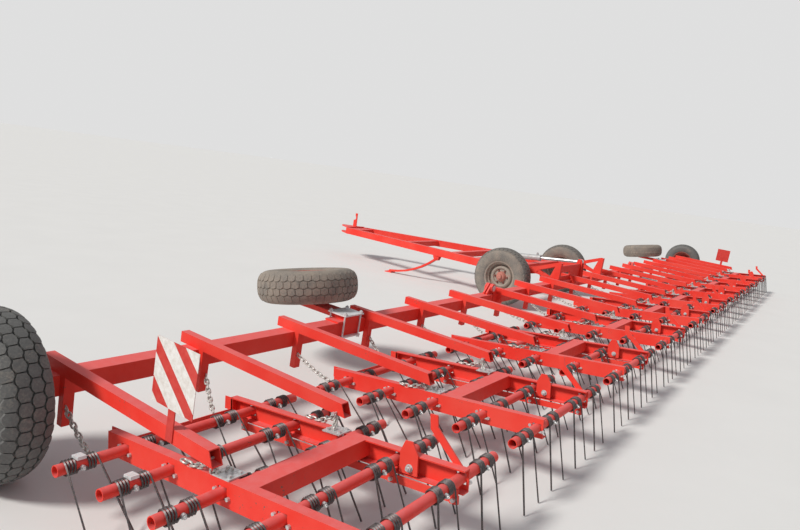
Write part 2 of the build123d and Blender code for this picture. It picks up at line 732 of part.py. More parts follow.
def axle_tube():
    """Tube across the drawbar's rear with the wheel spindles and the tilt pivot's ears."""
    half = AXLE_TUBE_SIZE / 2
    body = block(
        (-AXLE_TUBE_HALF, AXLE_TUBE_HALF),
        (AXLE_TUBE_Y - half, AXLE_TUBE_Y + half),
        (DRAWBAR_Z - half, DRAWBAR_Z + half),
    )
    pivot_y, pivot_z = beam_point(PIVOT_FORWARD, PIVOT_UP)
    corner = PIVOT_RADIUS * cos(pi / 4)
    ear = (
        (AXLE_TUBE_Y - half, DRAWBAR_Z - half),
        (AXLE_TUBE_Y - half, DRAWBAR_Z + half),
        (pivot_y, pivot_z + PIVOT_RADIUS),
        (pivot_y - corner, pivot_z + corner),
        (pivot_y - PIVOT_RADIUS, pivot_z),
        (pivot_y - corner, pivot_z - corner),
        (pivot_y, pivot_z - PIVOT_RADIUS),
    )
    plate = (
        (AXLE_Y - half, TYRE_RADIUS - half),
        (AXLE_Y - half, DRAWBAR_Z + half),
        (AXLE_TUBE_Y + half, DRAWBAR_Z + half),
        (AXLE_TUBE_Y + half, DRAWBAR_Z - half),
        (AXLE_Y + half, TYRE_RADIUS - half),
    )
    pin_reach = PIVOT_EAR / 2 + SIDE_GAP + MAST_THICKNESS + PIN_HEAD
    for side in (-1, 1):
        middle = side * PIVOT_X
        body += outline_along_x(ear, middle - PIVOT_EAR / 2, middle + PIVOT_EAR / 2)
        body += pin(TILT_PIN_RADIUS, middle - pin_reach, middle + pin_reach, pivot_y, pivot_z)
        start, end = sorted((side * AXLE_TUBE_HALF, side * (AXLE_TUBE_HALF + SPINDLE_PLATE)))
        body += outline_along_x(plate, start, end)
        start, end = sorted((side * AXLE_TUBE_HALF, side * (CENTRE_WHEEL_X + AXLE_ENGAGEMENT)))
        body += axle(start, end, AXLE_Y, TYRE_RADIUS)
    return body


def drawbar_beam(side):
    """One slanting beam of the drawbar's triangle, cut square to the machine at both ends."""
    rear = AXLE_TUBE_Y + AXLE_TUBE_SIZE / 2
    slope = atan2(DRAWBAR_REAR_HALF - DRAWBAR_FRONT_HALF, DRAWBAR_FRONT - AXLE_TUBE_Y)
    half = DRAWBAR_WIDTH / 2 / cos(slope)
    outline = [
        (drawbar_half(rear) - half, rear),
        (drawbar_half(rear) + half, rear),
        (drawbar_half(DRAWBAR_FRONT) + half, DRAWBAR_FRONT),
        (drawbar_half(DRAWBAR_FRONT) - half, DRAWBAR_FRONT),
    ]
    low = DRAWBAR_Z - DRAWBAR_DEPTH / 2
    return mirrored(outline_along_z(outline, low, low + DRAWBAR_DEPTH), side)


def cross_members():
    """Members between the drawbar's beams, the rear one with the cylinder's lugs."""
    slope = atan2(DRAWBAR_REAR_HALF - DRAWBAR_FRONT_HALF, DRAWBAR_FRONT - AXLE_TUBE_Y)
    half_beam = DRAWBAR_WIDTH / 2 / cos(slope)
    low = DRAWBAR_Z - CROSS_MEMBER_DEPTH / 2
    high = DRAWBAR_Z + CROSS_MEMBER_DEPTH / 2
    solids = []
    for middle, width in CROSS_MEMBERS:
        rear = middle - width / 2
        front = middle + width / 2
        rear_half = drawbar_half(rear) - half_beam
        front_half = drawbar_half(front) - half_beam
        outline = ((-rear_half, rear), (rear_half, rear), (front_half, front), (-front_half, front))
        solids.append(outline_along_z(outline, low, high))
    inner = EYE_WIDTH / 2 + SIDE_GAP
    lug = (
        (BARREL_EYE_Y - EYE_RADIUS, high),
        (BARREL_EYE_Y - EYE_RADIUS, BARREL_EYE_Z + EYE_RADIUS / 2),
        (BARREL_EYE_Y - EYE_RADIUS / 2, BARREL_EYE_Z + EYE_RADIUS),
        (BARREL_EYE_Y + EYE_RADIUS / 2, BARREL_EYE_Z + EYE_RADIUS),
        (BARREL_EYE_Y + EYE_RADIUS, BARREL_EYE_Z + EYE_RADIUS / 2),
        (BARREL_EYE_Y + EYE_RADIUS, high),
    )
    rear_member = solids[0]
    for side in (-1, 1):
        start, end = sorted((side * inner, side * (inner + EAR_THICKNESS)))
        rear_member += outline_along_x(lug, start, end)
    reach = inner + EAR_THICKNESS + PIN_HEAD
    rear_member += pin(CYLINDER_PIN_RADIUS, -reach, reach, BARREL_EYE_Y, BARREL_EYE_Z)
    return [rear_member] + solids[1:]


def hitch():
    """Clevis at the drawbar's front: two tapering plates with an upright pin bore, and a hose rest."""
    rear = DRAWBAR_FRONT
    wide = drawbar_half(DRAWBAR_FRONT)
    tip = HITCH_TIP_RADIUS
    flat = tip * tan(pi / 8)
    outline = (
        (-wide, rear),
        (wide, rear),
        (tip, HITCH_Y + flat),
        (flat, HITCH_Y + tip),
        (-flat, HITCH_Y + tip),
        (-tip, HITCH_Y + flat),
    )
    body = Part()
    mouth_half = HITCH_MOUTH / 2
    for low in (DRAWBAR_Z - mouth_half - HITCH_PLATE, DRAWBAR_Z + mouth_half):
        body += outline_along_z(outline, low, low + HITCH_PLATE)
    body += block(
        (-HITCH_BLOCK_HALF, HITCH_BLOCK_HALF),
        (rear, rear + HITCH_BLOCK_LENGTH),
        (DRAWBAR_Z - mouth_half, DRAWBAR_Z + mouth_half),
    )
    top = DRAWBAR_Z + mouth_half + HITCH_PLATE
    rest = [(rear + ahead, top + above) for ahead, above in HOSE_REST]
    body += outline_along_x(rest, -HOSE_REST_THICKNESS / 2, HOSE_REST_THICKNESS / 2)
    return body - Pos(0, HITCH_Y, DRAWBAR_Z) * Cylinder(HITCH_BORE_RADIUS, 2 * HITCH_MOUTH)


def stand_bracket():
    """Plate under the left beam with two lugs and the stand's pin."""
    x = -drawbar_half(STAND_PIN_Y)
    top = DRAWBAR_Z - DRAWBAR_DEPTH / 2
    inner = STAND_WIDTH / 2 + SIDE_GAP
    outer = inner + STAND_LUG
    eye = STAND_EYE_RADIUS
    body = block((x - outer, x + outer), (STAND_PIN_Y - 2 * eye, STAND_PIN_Y + 2 * eye), (top - STAND_LUG, top))
    lug = (
        (STAND_PIN_Y - 2 * eye, top - STAND_LUG),
        (STAND_PIN_Y - eye, STAND_PIN_Z - eye),
        (STAND_PIN_Y + eye, STAND_PIN_Z - eye),
        (STAND_PIN_Y + 2 * eye, top - STAND_LUG),
    )
    for side in (-1, 1):
        start, end = sorted((x + side * inner, x + side * outer))
        body += outline_along_x(lug, start, end)
    reach = outer + PIN_HEAD
    return body + pin(STAND_PIN_RADIUS, x - reach, x + reach, STAND_PIN_Y, STAND_PIN_Z)


def parking_stand():
    """Bowed flat leg from its pin down and forwards to a level foot on the ground."""
    x = -drawbar_half(STAND_PIN_Y)
    half = STAND_THICKNESS / 2
    dy = STAND_FOOT_Y - STAND_PIN_Y
    dz = STAND_FOOT_THICKNESS + half - STAND_PIN_Z
    length = hypot(dy, dz)
    place = Plane((x - STAND_WIDTH / 2, STAND_PIN_Y, STAND_PIN_Z), x_dir=(0, dy, dz), z_dir=(1, 0, 0))
    shares = [number / STAND_BOW_PARTS for number in range(STAND_BOW_PARTS + 1)]
    bow = [(length * share, -4 * STAND_BOW * share * (1 - share)) for share in shares]
    low = [(along_leg, drop - half) for along_leg, drop in bow]
    high = [(along_leg, drop + half) for along_leg, drop in reversed(bow)]
    body = extrude(place * make_face(Polyline(*low, *high, close=True)), amount=STAND_WIDTH)
    start = x - STAND_WIDTH / 2
    end = x + STAND_WIDTH / 2
    body += sided_bar(STAND_EYE_RADIUS, HUB_SIDES, start, end, STAND_PIN_Y, STAND_PIN_Z)
    foot_rear = STAND_FOOT_Y - STAND_FOOT_LENGTH / 2
    body += block(
        (start - STAND_THICKNESS, end + STAND_THICKNESS),
        (foot_rear, foot_rear + STAND_FOOT_LENGTH),
        (0, STAND_FOOT_THICKNESS),
    )
    body += block(
        (start, end),
        (STAND_FOOT_Y - STAND_THICKNESS, STAND_FOOT_Y + half),
        (0, STAND_FOOT_THICKNESS + half),
    )
    return body - bore(STAND_PIN_RADIUS, start, end, STAND_PIN_Y, STAND_PIN_Z)


def cylinder_place():
    """Location of the cylinder's own frame, its rod along -Y from the barrel's eye."""
    rod_y, rod_z = beam_point(ROD_EYE_FORWARD, ROD_EYE_UP)
    rise = degrees(atan2(rod_z - BARREL_EYE_Z, BARREL_EYE_Y - rod_y))
    return Pos(0, BARREL_EYE_Y, BARREL_EYE_Z) * Rot(-rise, 0, 0)


def cylinder_reach():
    """Distance between the cylinder's two eyes at rest."""
    rod_y, rod_z = beam_point(ROD_EYE_FORWARD, ROD_EYE_UP)
    return hypot(BARREL_EYE_Y - rod_y, rod_z - BARREL_EYE_Z)


def along(radius, sides, start, end):
    """Prism along -Y between two distances from the barrel's eye."""
    return Rot(0, 0, -90) * sided_bar(radius, sides, start, end)


def cylinder_barrel():
    """Closed barrel with its eye, gland and two ports."""
    neck_end = EYE_RADIUS + BARREL_NECK
    body = along(BARREL_RADIUS, BARREL_SIDES, neck_end, BARREL_LENGTH)
    body += sided_bar(EYE_RADIUS, PIN_SIDES, -EYE_WIDTH / 2, EYE_WIDTH / 2)
    body += along(NECK_RADIUS, HUB_SIDES, 0, neck_end)
    body -= bore(CYLINDER_PIN_RADIUS, -EYE_WIDTH, EYE_WIDTH)
    body -= along(ROD_RADIUS + PIN_CLEARANCE, PIN_SIDES, BARREL_LENGTH - BORE_DEPTH, BARREL_LENGTH + BORE_OVERRUN)
    for distance in (neck_end + PORT_INSET, BARREL_LENGTH - PORT_INSET):
        body += Pos(0, -distance, BARREL_RADIUS) * Box(PORT_SIZE, PORT_SIZE, PORT_SIZE)
    return cylinder_place() * body


def cylinder_rod():
    """Round rod with its solid eye between the ears on the beam."""
    reach = cylinder_reach()
    body = Rot(0, 0, -90) * pin(ROD_RADIUS, BARREL_LENGTH - ROD_INSERTION, reach)
    body += sided_bar(EYE_RADIUS, PIN_SIDES, -EYE_WIDTH / 2, EYE_WIDTH / 2, -reach)
    return cylinder_place() * body


def wheel_places():
    """Each wheel's name with the location that carries a wheel from the X axis to its spindle."""
    places = []
    for name, side in (("left", -1), ("right", 1)):
        turn = Rot(0, 0, 0) if side > 0 else Rot(0, 0, 180)
        places.append((name + "_centre", Pos(side * CENTRE_WHEEL_X, AXLE_Y, TYRE_RADIUS) * turn))
        end = Pos(side * end_wheel_x(), 0, BEAM_HEIGHT) * turn
        places.append((name + "_end", end))
        across = Pos((side - 1) * TRANSPORT_X, 0, 0)
        slope = Pos(0, 0, BEAM_HEIGHT) * Rot(ARM_DROP_DEGREES, 0, 0)
        places.append((name + "_transport", slope * across * transport_place()))
    return places


def build():
    """All sub-parts by name, each a list of solids, with y from the beam's axis."""
    nodes = {}
    nodes["axle_tube"] = [axle_tube()]
    nodes["left_drawbar_beam"] = [drawbar_beam(-1)]
    nodes["right_drawbar_beam"] = [drawbar_beam(1)]
    nodes["drawbar_cross_members"] = cross_members()
    nodes["hitch"] = [hitch()]
    nodes["stand_bracket"] = [stand_bracket()]
    nodes["parking_stand"] = [parking_stand()]
    nodes["cylinder_barrel"] = [cylinder_barrel()]
    nodes["cylinder_rod"] = [cylinder_rod()]
    nodes["centre_beam"] = [set_on_beam(centre_beam())]
    nodes["cylinder_anchor"] = [set_on_beam(cylinder_anchor())]
    nodes["fold_pins"] = [set_on_beam(fold_pin(-1)), set_on_beam(fold_pin(1))]
    for name, side in (("left", -1), ("right", 1)):
        nodes[name + "_tilt_mast"] = [set_on_beam(mast(side))]
        nodes[name + "_wing_beam"] = [set_on_beam(wing_beam(side))]
        nodes[name + "_transport_bracket"] = [set_on_beam(transport_bracket(side))]
        nodes[name + "_warning_board"] = [set_on_beam(warning_board(side))]
    for name, place in wheel_places():
        nodes[name + "_tyre"] = [place * tyre()]
        nodes[name + "_rim"] = [place * rim()]
    frame = [section_frame()] + tine_linkage()
    bars = tine_bars()
    count = CENTRE_SECTION_COUNT + 2 * WING_SECTION_COUNT
    hangings = {"left_wing": [], "centre": [], "right_wing": []}
    for number in range(count):
        x = (number - (count - 1) / 2) * SECTION_PITCH
        place = Pos(x, -RAIL_FRONT, FRONT_HEIGHT) * Rot(-NOSE_DOWN_DEGREES, 0, 0)
        label = "section_" + str(number + 1)
        nodes[label + "_frame"] = [place * solid for solid in frame]
        nodes[label + "_tines"] = [place * bar for bar in bars]
        if number < WING_SECTION_COUNT:
            body = "left_wing"
        elif number < WING_SECTION_COUNT + CENTRE_SECTION_COUNT:
            body = "centre"
        else:
            body = "right_wing"
        for side in (-1, 1):
            arm_x = x + side * SECTION_PITCH / 4
            hangings[body] += draught_chain(arm_x)
            hangings[body] += hanger(x + side * (RAIL_SPAN - LINK_THICKNESS) / 2)
    for body, solids in hangings.items():
        nodes[body + "_chains"] = solids
    return nodes


def origin_shift(nodes):
    """Distance that brings the middle of the machine's length to y = 0."""
    rear = min(solid.bounding_box().min.Y for solid in nodes["section_1_tines"])
    front = HITCH_Y + HITCH_TIP_RADIUS
    return -(rear + front) / 2


def write(nodes, shift):
    """Write each sub-part's file in the part's own frame."""
    os.makedirs("parts", exist_ok=True)
    for name, solids in nodes.items():
        placed = [Pos(0, shift, 0) * solid for solid in solids]
        shape = placed[0] if len(placed) == 1 else Compound(children=placed)
        export_step(shape, "parts/" + name + ".step")


nodes = build()
shift = origin_shift(nodes)
write(nodes, shift)
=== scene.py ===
"""Finishes and small forms of a trailed spring-tine harrow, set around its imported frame."""
import json
from math import acos, atan2, cos, pi, radians, sin

import bpy
import numpy as np
from mathutils import Matrix, Vector


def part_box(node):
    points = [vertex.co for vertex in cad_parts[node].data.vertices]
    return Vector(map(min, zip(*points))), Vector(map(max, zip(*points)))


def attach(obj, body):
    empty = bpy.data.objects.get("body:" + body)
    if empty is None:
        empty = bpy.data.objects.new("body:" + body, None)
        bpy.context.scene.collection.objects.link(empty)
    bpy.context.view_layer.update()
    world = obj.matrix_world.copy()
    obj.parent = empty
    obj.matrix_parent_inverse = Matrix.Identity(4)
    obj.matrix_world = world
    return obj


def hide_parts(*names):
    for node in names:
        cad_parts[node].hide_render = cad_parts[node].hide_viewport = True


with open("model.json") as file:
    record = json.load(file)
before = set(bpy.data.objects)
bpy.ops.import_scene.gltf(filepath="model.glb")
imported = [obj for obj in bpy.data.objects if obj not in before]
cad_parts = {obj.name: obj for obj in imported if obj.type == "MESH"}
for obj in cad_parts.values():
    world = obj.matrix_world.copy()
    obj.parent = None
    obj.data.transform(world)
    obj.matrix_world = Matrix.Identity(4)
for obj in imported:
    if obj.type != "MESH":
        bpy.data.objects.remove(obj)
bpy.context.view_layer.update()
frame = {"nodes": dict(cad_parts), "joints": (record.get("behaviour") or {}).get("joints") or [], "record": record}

bl_info = {
    "name": "Spring-Tine Harrow Looks",
    "version": (1, 0, 0),
    "blender": (4, 5, 0),
    "location": "View3D > Sidebar > Harrow",
    "description": "Tyres, wheels, spring tines, chains, fasteners and paint of a trailed harrow",
    "category": "Object",
}

RECORD = frame["record"]
JOINTS = {joint["name"]: joint for joint in frame["joints"]}
SECTIONS = sorted(
    (name for name in frame["nodes"] if name.startswith("section_") and name.endswith("_frame")),
    key=lambda name: int(name.split("_")[1]),
)


def body_of_node(node):
    """Name of the body that a node belongs to."""
    for body, nodes in RECORD["behaviour"]["bodies"].items():
        if node in nodes:
            return body
    raise ValueError("no body holds " + node)


# Settings that a user would change

def metres(name, description, default):
    return bpy.props.FloatProperty(
        name=name, description=description, default=default, unit="LENGTH", precision=4
    )


def angle(name, description, default):
    return bpy.props.FloatProperty(
        name=name, description=description, default=radians(default), unit="ROTATION"
    )


def number(name, description, default):
    return bpy.props.IntProperty(name=name, description=description, default=default, min=1)


def share(name, description, default):
    return bpy.props.FloatProperty(
        name=name, description=description, default=default, min=0, max=1, subtype="FACTOR"
    )


def strength(name, description, default):
    return bpy.props.FloatProperty(name=name, description=description, default=default, min=0)


def colour(name, description, default):
    return bpy.props.FloatVectorProperty(
        name=name, description=description, default=default, size=3, min=0, max=1, subtype="COLOR"
    )


class TyreSettings(bpy.types.PropertyGroup):
    radius: metres("Radius", "From the axle to the top of the tread blocks", 0.375)
    width: metres("Width", "Across the sidewalls at their widest", 0.242)
    bead_radius: metres("Bead radius", "From the axle to the rim's seat", 0.199)
    block_height: metres("Block height", "Depth of the tread grooves", 0.011)
    worn_height: metres("Worn height", "Depth of the transport wheels' filled grooves", 0.006)
    blocks: number("Blocks", "Tread blocks in one row round the tyre", 40)
    rows: number("Rows", "Rows of tread blocks", 4)
    row_pitch: metres("Row pitch", "From one row of blocks to the next", 0.0505)
    rubber: colour("Rubber", "Black rubber", (0.078, 0.078, 0.076))
    worn: colour("Worn rubber", "Rubber greyed by wear", (0.145, 0.144, 0.138))
    mud: colour("Mud", "Dried mud on the tyres", (0.290, 0.245, 0.205))


class WheelSettings(bpy.types.PropertyGroup):
    radius: metres("Radius", "From the axle to the rim's outer seat", 0.1955)
    width: metres("Width", "Across the rim's flanges", 0.2)
    disc_offset: metres("Disc offset", "From the wheel's middle to the disc's face", 0.04)
    hub_radius: metres("Hub radius", "Outside of the hub", 0.062)
    studs: number("Studs", "Wheel nuts round the hub", 6)
    stud_circle: metres("Stud circle", "Radius of the circle of the wheel nuts", 0.085)
    nut_size: metres("Nut size", "Across the corners of a wheel nut", 0.026)
    paint: colour("Wheel paint", "Red paint of the wheels under the dust", (0.36, 0.045, 0.030))
    steel: colour("Bare steel", "Worn and dusty steel of the wheel discs", (0.30, 0.25, 0.21))
    dust: colour("Wheel dust", "Dust on the discs and rims", (0.42, 0.36, 0.30))
    hub: colour("Hub paint", "Faded red paint of the dusty wheels' hubs", (0.52, 0.16, 0.12))


class TineSettings(bpy.types.PropertyGroup):
    pipe_radius: metres("Pipe radius", "Outside of the tine pipes", 0.024)
    pipe_wall: metres("Pipe wall", "Wall of the tine pipes", 0.004)
    pipe_length: metres("Pipe length", "Length of a tine pipe", 1.3)
    first_pipe: metres("First pipe", "From a section's front to its first pipe", 0.127)
    pipe_pitch: metres("Pipe pitch", "From one pipe to the next", 0.3035)
    pipe_depth: metres("Pipe depth", "From the rails' tops down to the pipes", 0.050)
    rows: number("Pipes", "Tine pipes in one section", 5)
    wire_radius: metres("Wire radius", "Half of the spring wire's thickness", 0.0045)
    gauge: metres("Gauge", "Between the two legs of one spring", 0.175)
    reach: metres("Reach", "From a pipe's axis to its tine tips", 0.345)
    tip_height: metres("Tip height", "Wire's middle above the ground at the tips", 0.005)
    coil_gap: metres("Coil gap", "From a spring's middle to its coils", 0.017)
    coil_end: metres("Coil end", "From a spring's middle to its coils' outer ends", 0.064)
    turns: number("Turns", "Coils on each side of one spring", 4)
    nose_down: angle("Nose down", "Slope of the sections, front end low", 5.2)
    front_height: metres("Front height", "Rails' tops above the ground at the front", 0.262)
    rail_half: metres("Rail half", "From a section's middle to its rails' outer faces", 0.357)
    wire: colour("Spring wire", "Dark oiled spring steel", (0.060, 0.054, 0.058))


class ChainSettings(bpy.types.PropertyGroup):
    wire_radius: metres("Wire radius", "Half of a link's thickness", 0.0045)
    link_width: metres("Link width", "Across a link", 0.029)
    link_pitch: metres("Link pitch", "From one link to the next", 0.042)
    sag: metres("Sag", "Drop of a draught chain's middle", 0.012)
    steel: colour("Chain steel", "Weathered galvanised chain", (0.62, 0.62, 0.60))


class PaintSettings(bpy.types.PropertyGroup):
    red: colour("Red", "Fresh paint of the steelwork", (0.80, 0.034, 0.020))
    faded: colour("Faded red", "Paint bleached by the sun", (0.82, 0.070, 0.048))
    dust: colour("Dust", "Pale dust on upward faces", (0.80, 0.20, 0.20))
    # Painted shade: the dark red that the paint takes on its downward faces, in streaks, stands in for the shade
    # under the steelwork; no corners are picked out.
    underside_shade: colour("Grime", "Dirt low down and in corners", (0.22, 0.030, 0.024))
    bare: colour("Bare steel", "Steel where the paint is chipped", (0.16, 0.11, 0.085))
    chips: share("Chips", "How much of the paint is chipped away", 0.32)


class StageSettings(bpy.types.PropertyGroup):
    floor: colour("Floor", "Plain pale floor", (0.80, 0.80, 0.79))
    backdrop: colour("Backdrop", "Behind the floor's far edge", (0.74, 0.74, 0.74))
    sun: strength("Sun", "Strength of the key light", 2.9)
    sky: strength("Sky", "Strength of the soft light all round", 0.36)


# Sizes of the frame and of its small forms, in metres

# Beam with its arms and posts: places are forward of the beam's axis and up from it
BEAM_Y, BEAM_Z = JOINTS["left_end_wheel_spin"]["pos_m"][1:]
BEAM_HALF = 0.05
BEAM_DROP = radians(2.4)
ARM_REAR = 1.098
ARM_LOW = 0.05
POST_REAR = 0.09

# Springs: their places along a pipe, each row's shift, and the form of one
TINE_SETS = (-0.535, -0.185, 0.185, 0.535)
ROW_STAGGER = (-0.020, 0.010, -0.010, 0.014, 0.0)
COIL_STEPS = 10
COIL_CLEARANCE = 0.001
LEG_PLACES = (0, 0.3, 0.8)
WIRE_SIDES = 4
CLAMP_LEAN = radians(-105)
END_PLATE = (0.036, 0.044, 0.013)
END_PLATE_RISE = 0.007

# Chains: those of the hangers have an inset from the rail's face, a place forward of the plate's
# front, a height, a sag and a count of links
CHAIN_NODES = {
    "centre_frame": "centre_chains", "left_wing": "left_wing_chains", "right_wing": "right_wing_chains",
}
CHAIN_FOOT = -0.09
CHAIN_START_ACROSS = 0.388
CHAIN_END_ACROSS = 0.500
CHAIN_END_ON_BAR = (0.205, 0.000, -0.058)
LINK_SIDES = 6
HANGER_INSET = 0.05
HANGER_BACK = -0.672
HANGER_LINE = 0.004
HANGER_RUNS = (
    (HANGER_LINE, 0.0, 0.010, 0.0, 2),
    (HANGER_LINE, 0.175, 0.010, 0.022, 6),
    (0.060, -0.040, 0.018, 0.040, 5),
)
HOOK_DROP = 0.006
BOW_RADIUS = 0.016
BOW_WIRE = 0.0045
BOW_RISE = 0.004
PLATE_SIZE = (0.090, 0.100, 0.006)
PLATE_BACK = 0.045
PLATE_BOLT_INSETS = (0.018, 0.070)
PLATE_BOLT_BACKS = (0.012, 0.078)

# Tilt cylinder
BARREL_EYE = (1.240, 0.532)
ROD_EYE = (0.010, 0.264)
BARREL_OUTLINE = (
    (0.030, 0.022), (0.048, 0.024), (0.056, 0.037), (0.062, 0.042), (0.636, 0.042), (0.639, 0.0455),
    (0.668, 0.0455), (0.672, 0.041), (0.673, 0.0225), (0.600, 0.0225), (0.598, 0.0), (0.030, 0.0),
)
EYE_OUTLINE = (
    (0.025, 0.0182), (0.025, 0.036), (0.023, 0.038), (-0.023, 0.038), (-0.025, 0.036),
    (-0.025, 0.0182),
)
PORT_WAYS = (0.104, 0.618)
PORT_FOOT = 0.036

# Linkage, front bar and saddle clamp: a bar is its size and its middle
STRIP_INSET = 0.061
STRIP_DEPTH = 0.122
RAIL_BOLT_PLACES = ((0.036, 0.012), (-0.034, -0.010))
LOCK_BOLTS = ((1.115, 0.050), (1.341, 0.050))
LOCK_PLATE = 0.006
LOCK_NUT_PLACE = (0.3045, -1.121, -0.056)
FRONT_BAR = ((0.626, 0.006, 0.036), (0.0, -0.003, -0.078))
FRONT_LUG = ((0.005, 0.054, 0.066), (0.3145, 0.011, -0.033))
LUG_STRIP = ((0.005, 0.018, 0.100), (0.3145, -0.009, -0.050))
TRANSPORT_X = 5.075
SADDLE_TOP = 0.098
SADDLE_PLATES = (
    ((0.210, 0.165, 0.010), SADDLE_TOP + 0.005),
    ((0.210, 0.150, 0.010), -BEAM_HALF - 0.006),
)
SADDLE_BOLT_PLACES = ((-0.090, -0.066), (-0.090, 0.066), (0.090, -0.066), (0.090, 0.066))
SADDLE_BOLT_FOOT = 0.022
SADDLE_BOLT_END = 0.050
SADDLE_NUT_BACK = 0.018

# Fasteners, each layer with a radius, a depth and a count of sides
NUT_DEPTH = 0.016
STUD_END = (0.007, 0.010, 8)
SPRING_CLAMP = ((0.0115, 0.010, 8), (0.0080, 0.007, 6), (0.0045, 0.004, 6))
SHACKLE_BOLT = ((-0.026, (0.006, 0.052, 8)), (-0.032, (0.010, 0.010, 6)))
PLATE_BOLT = (0.009, 0.009, 6)
PORT = ((0.017, 0.018, 14), (0.0135, 0.014, 6), (0.0085, 0.008, 12))
RAIL_BOLT = (0.0085, 0.012, 6)
STRIP_BOLT = (0.010, 0.012, 6)
LOCK_BOLT = ((0.015, 0.003, 12), (0.011, 0.010, 6))
LOCK_NUT = ((0.0175, 0.003, 16), (0.0140, 0.012, 6), (0.0070, 0.009, 10))
SADDLE_ROD = (0.0062, SADDLE_TOP + BEAM_HALF + SADDLE_BOLT_END, 10)
SADDLE_NUT = (0.0135, 0.012, 6)
SADDLE_HEAD = (0.0135, 0.011, 6)

# Tyres: the power of the profile's curve, its widest place as a share of the height, and the bead
ROUNDNESS = 2.6
MIDDLE_SHARE = 0.42
FLANK_POWER = 0.8
CARCASS_INSET = 0.001
BEAD_HALF = 0.094
BEAD_RISE = 0.004
BEAD_FOOT = 0.080
INNER_HALF = 0.070
INNER_RISE = 0.012
BLOCK_SHARE = (0.515, 0.97)
BLOCK_TOP = 0.93
BLOCK_ROOT = 0.006
BLOCK_CORNERS = (
    (1, 0.35), (0.62, 1), (-0.62, 1), (-1, 0.35), (-1, -0.35), (-0.62, -1), (0.62, -1), (1, -0.35),
)
TREAD_EDGE = (0.335, 0.350)

# Runs of a wheel's profile, each of places across and out from its own start
RIM_LIP = (
    (-0.020, -0.012), (-0.003, -0.004), (0.004, 0.012), (0.001, 0.014), (-0.006, 0.004), (-0.010, 0.0),
)
WELL_OUTSIDE = ((0.050, -0.004), (0.040, -0.018), (-0.020, -0.018), (-0.030, -0.004))
WELL_BACK = ((-0.035, -0.014), (-0.025, -0.026), (0.004, -0.028))
DISC_BACK = ((-0.030, 0.151), (-0.006, 0.136), (0.002, 0.119), (-0.008, 0.106), (-0.022, 0.098))
HUB_BACK = ((-0.022, 0.004), (-0.110, 0.0))
BORE_AND_CAP = (
    (-0.110, 0.026), (-0.100, 0.0255), (0.020, 0.0255), (0.030, 0.0), (0.056, 0.0), (0.056, 0.020),
    (0.050, 0.029), (0.030, 0.031),
)
HUB_FRONT = ((0.028, -0.014), (0.018, -0.004), (-0.010, 0.006))
DISC_FRONT = ((-0.012, 0.098), (0.004, 0.106), (0.010, 0.120), (0.002, 0.138), (-0.022, 0.153))
WELL_FRONT = ((0.016, -0.030), (0.050, -0.028), (0.062, -0.014))
NUT_SEAT = 0.012
HUB_EDGE = (0.072, 0.066)

# Stripes of the boards
STRIPE_SLANT = 1.0
STRIPE_PITCH = 0.165
STRIPE_START = 0.0085
STRIPE_WHITE = 0.59
BOARD_SKIN = 0.0025

# Angles, in degrees, past which an edge stays sharp
HARD_EDGES = 30.0
ROUND_EDGES = 35.0
WIRE_EDGES = 60.0

ACROSS = (1, 0, 0)
UP = (0, 0, 1)


def beam_point(forward, up):
    """World (y, z) of a place given forward of the beam's axis and up from it, along its arms."""
    y = BEAM_Y + forward * cos(BEAM_DROP) - up * sin(BEAM_DROP)
    z = BEAM_Z + forward * sin(BEAM_DROP) + up * cos(BEAM_DROP)
    return y, z


def on_beam(points):
    """The points, given as x, forward and up on the beam, turned to its slope."""
    y, z = beam_point(points[..., 1], points[..., 2])
    return np.stack([points[..., 0], y, z], axis=-1)


def section_front(name):
    """World (x, y, z) of the front top edge's middle of a section; a rail stands at its low x."""
    tines = bpy.context.scene.harrow_tines
    low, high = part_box(name)
    return low[0] + tines.rail_half, high[1], tines.front_height


def row_lean(row):
    """How far the legs of a row lean back in the section, for their tips to meet the ground."""
    tines = bpy.context.scene.harrow_tines
    back = tines.first_pipe + tines.pipe_pitch * row
    slope = tines.nose_down
    height = tines.front_height + back * sin(slope) - tines.pipe_depth * cos(slope)
    return acos((height - tines.tip_height) / tines.reach) - slope


def on_section(points, name):
    """The points, given across, back and up from a section's front, in the world."""
    x, y, z = section_front(name)
    lean = bpy.context.scene.harrow_tines.nose_down
    across, forward, up = points[..., 0], points[..., 1], points[..., 2]
    turned_y = forward * cos(lean) + up * sin(lean)
    turned_z = up * cos(lean) - forward * sin(lean)
    return np.stack([x + across, y + turned_y, z + turned_z], axis=-1)


# Surfaces

def grid_faces(rows, columns, wrap_rows=False, wrap_columns=False):
    """Quads of a grid of points numbered row by row, joined round where a way wraps."""
    row = np.arange(rows if wrap_rows else rows - 1)
    column = np.arange(columns if wrap_columns else columns - 1)
    near, across = np.meshgrid(row, column, indexing="ij")
    far = (near + 1) % rows
    beyond = (across + 1) % columns
    near, far = near * columns, far * columns
    corners = [near + across, near + beyond, far + beyond, far + across]
    return np.stack(corners, axis=-1).reshape(-1, 4)


def join(parts):
    """One set of points and quads from several, their numbers moved on in turn."""
    points, faces, count = [], [], 0
    for part_points, part_faces in parts:
        flat = part_points.reshape(-1, 3)
        points.append(flat)
        faces.append(part_faces + count)
        count += len(flat)
    return np.concatenate(points), np.concatenate(faces)


def copies(points, faces, places):
    """The same shape at each place, where places is an array of (x, y, z) moves."""
    flat = points.reshape(-1, 3)
    many = (flat[None] + places[:, None]).reshape(-1, 3)
    steps = (np.arange(len(places)) * len(flat))[:, None, None]
    return many, (faces[None] + steps).reshape(-1, 4)


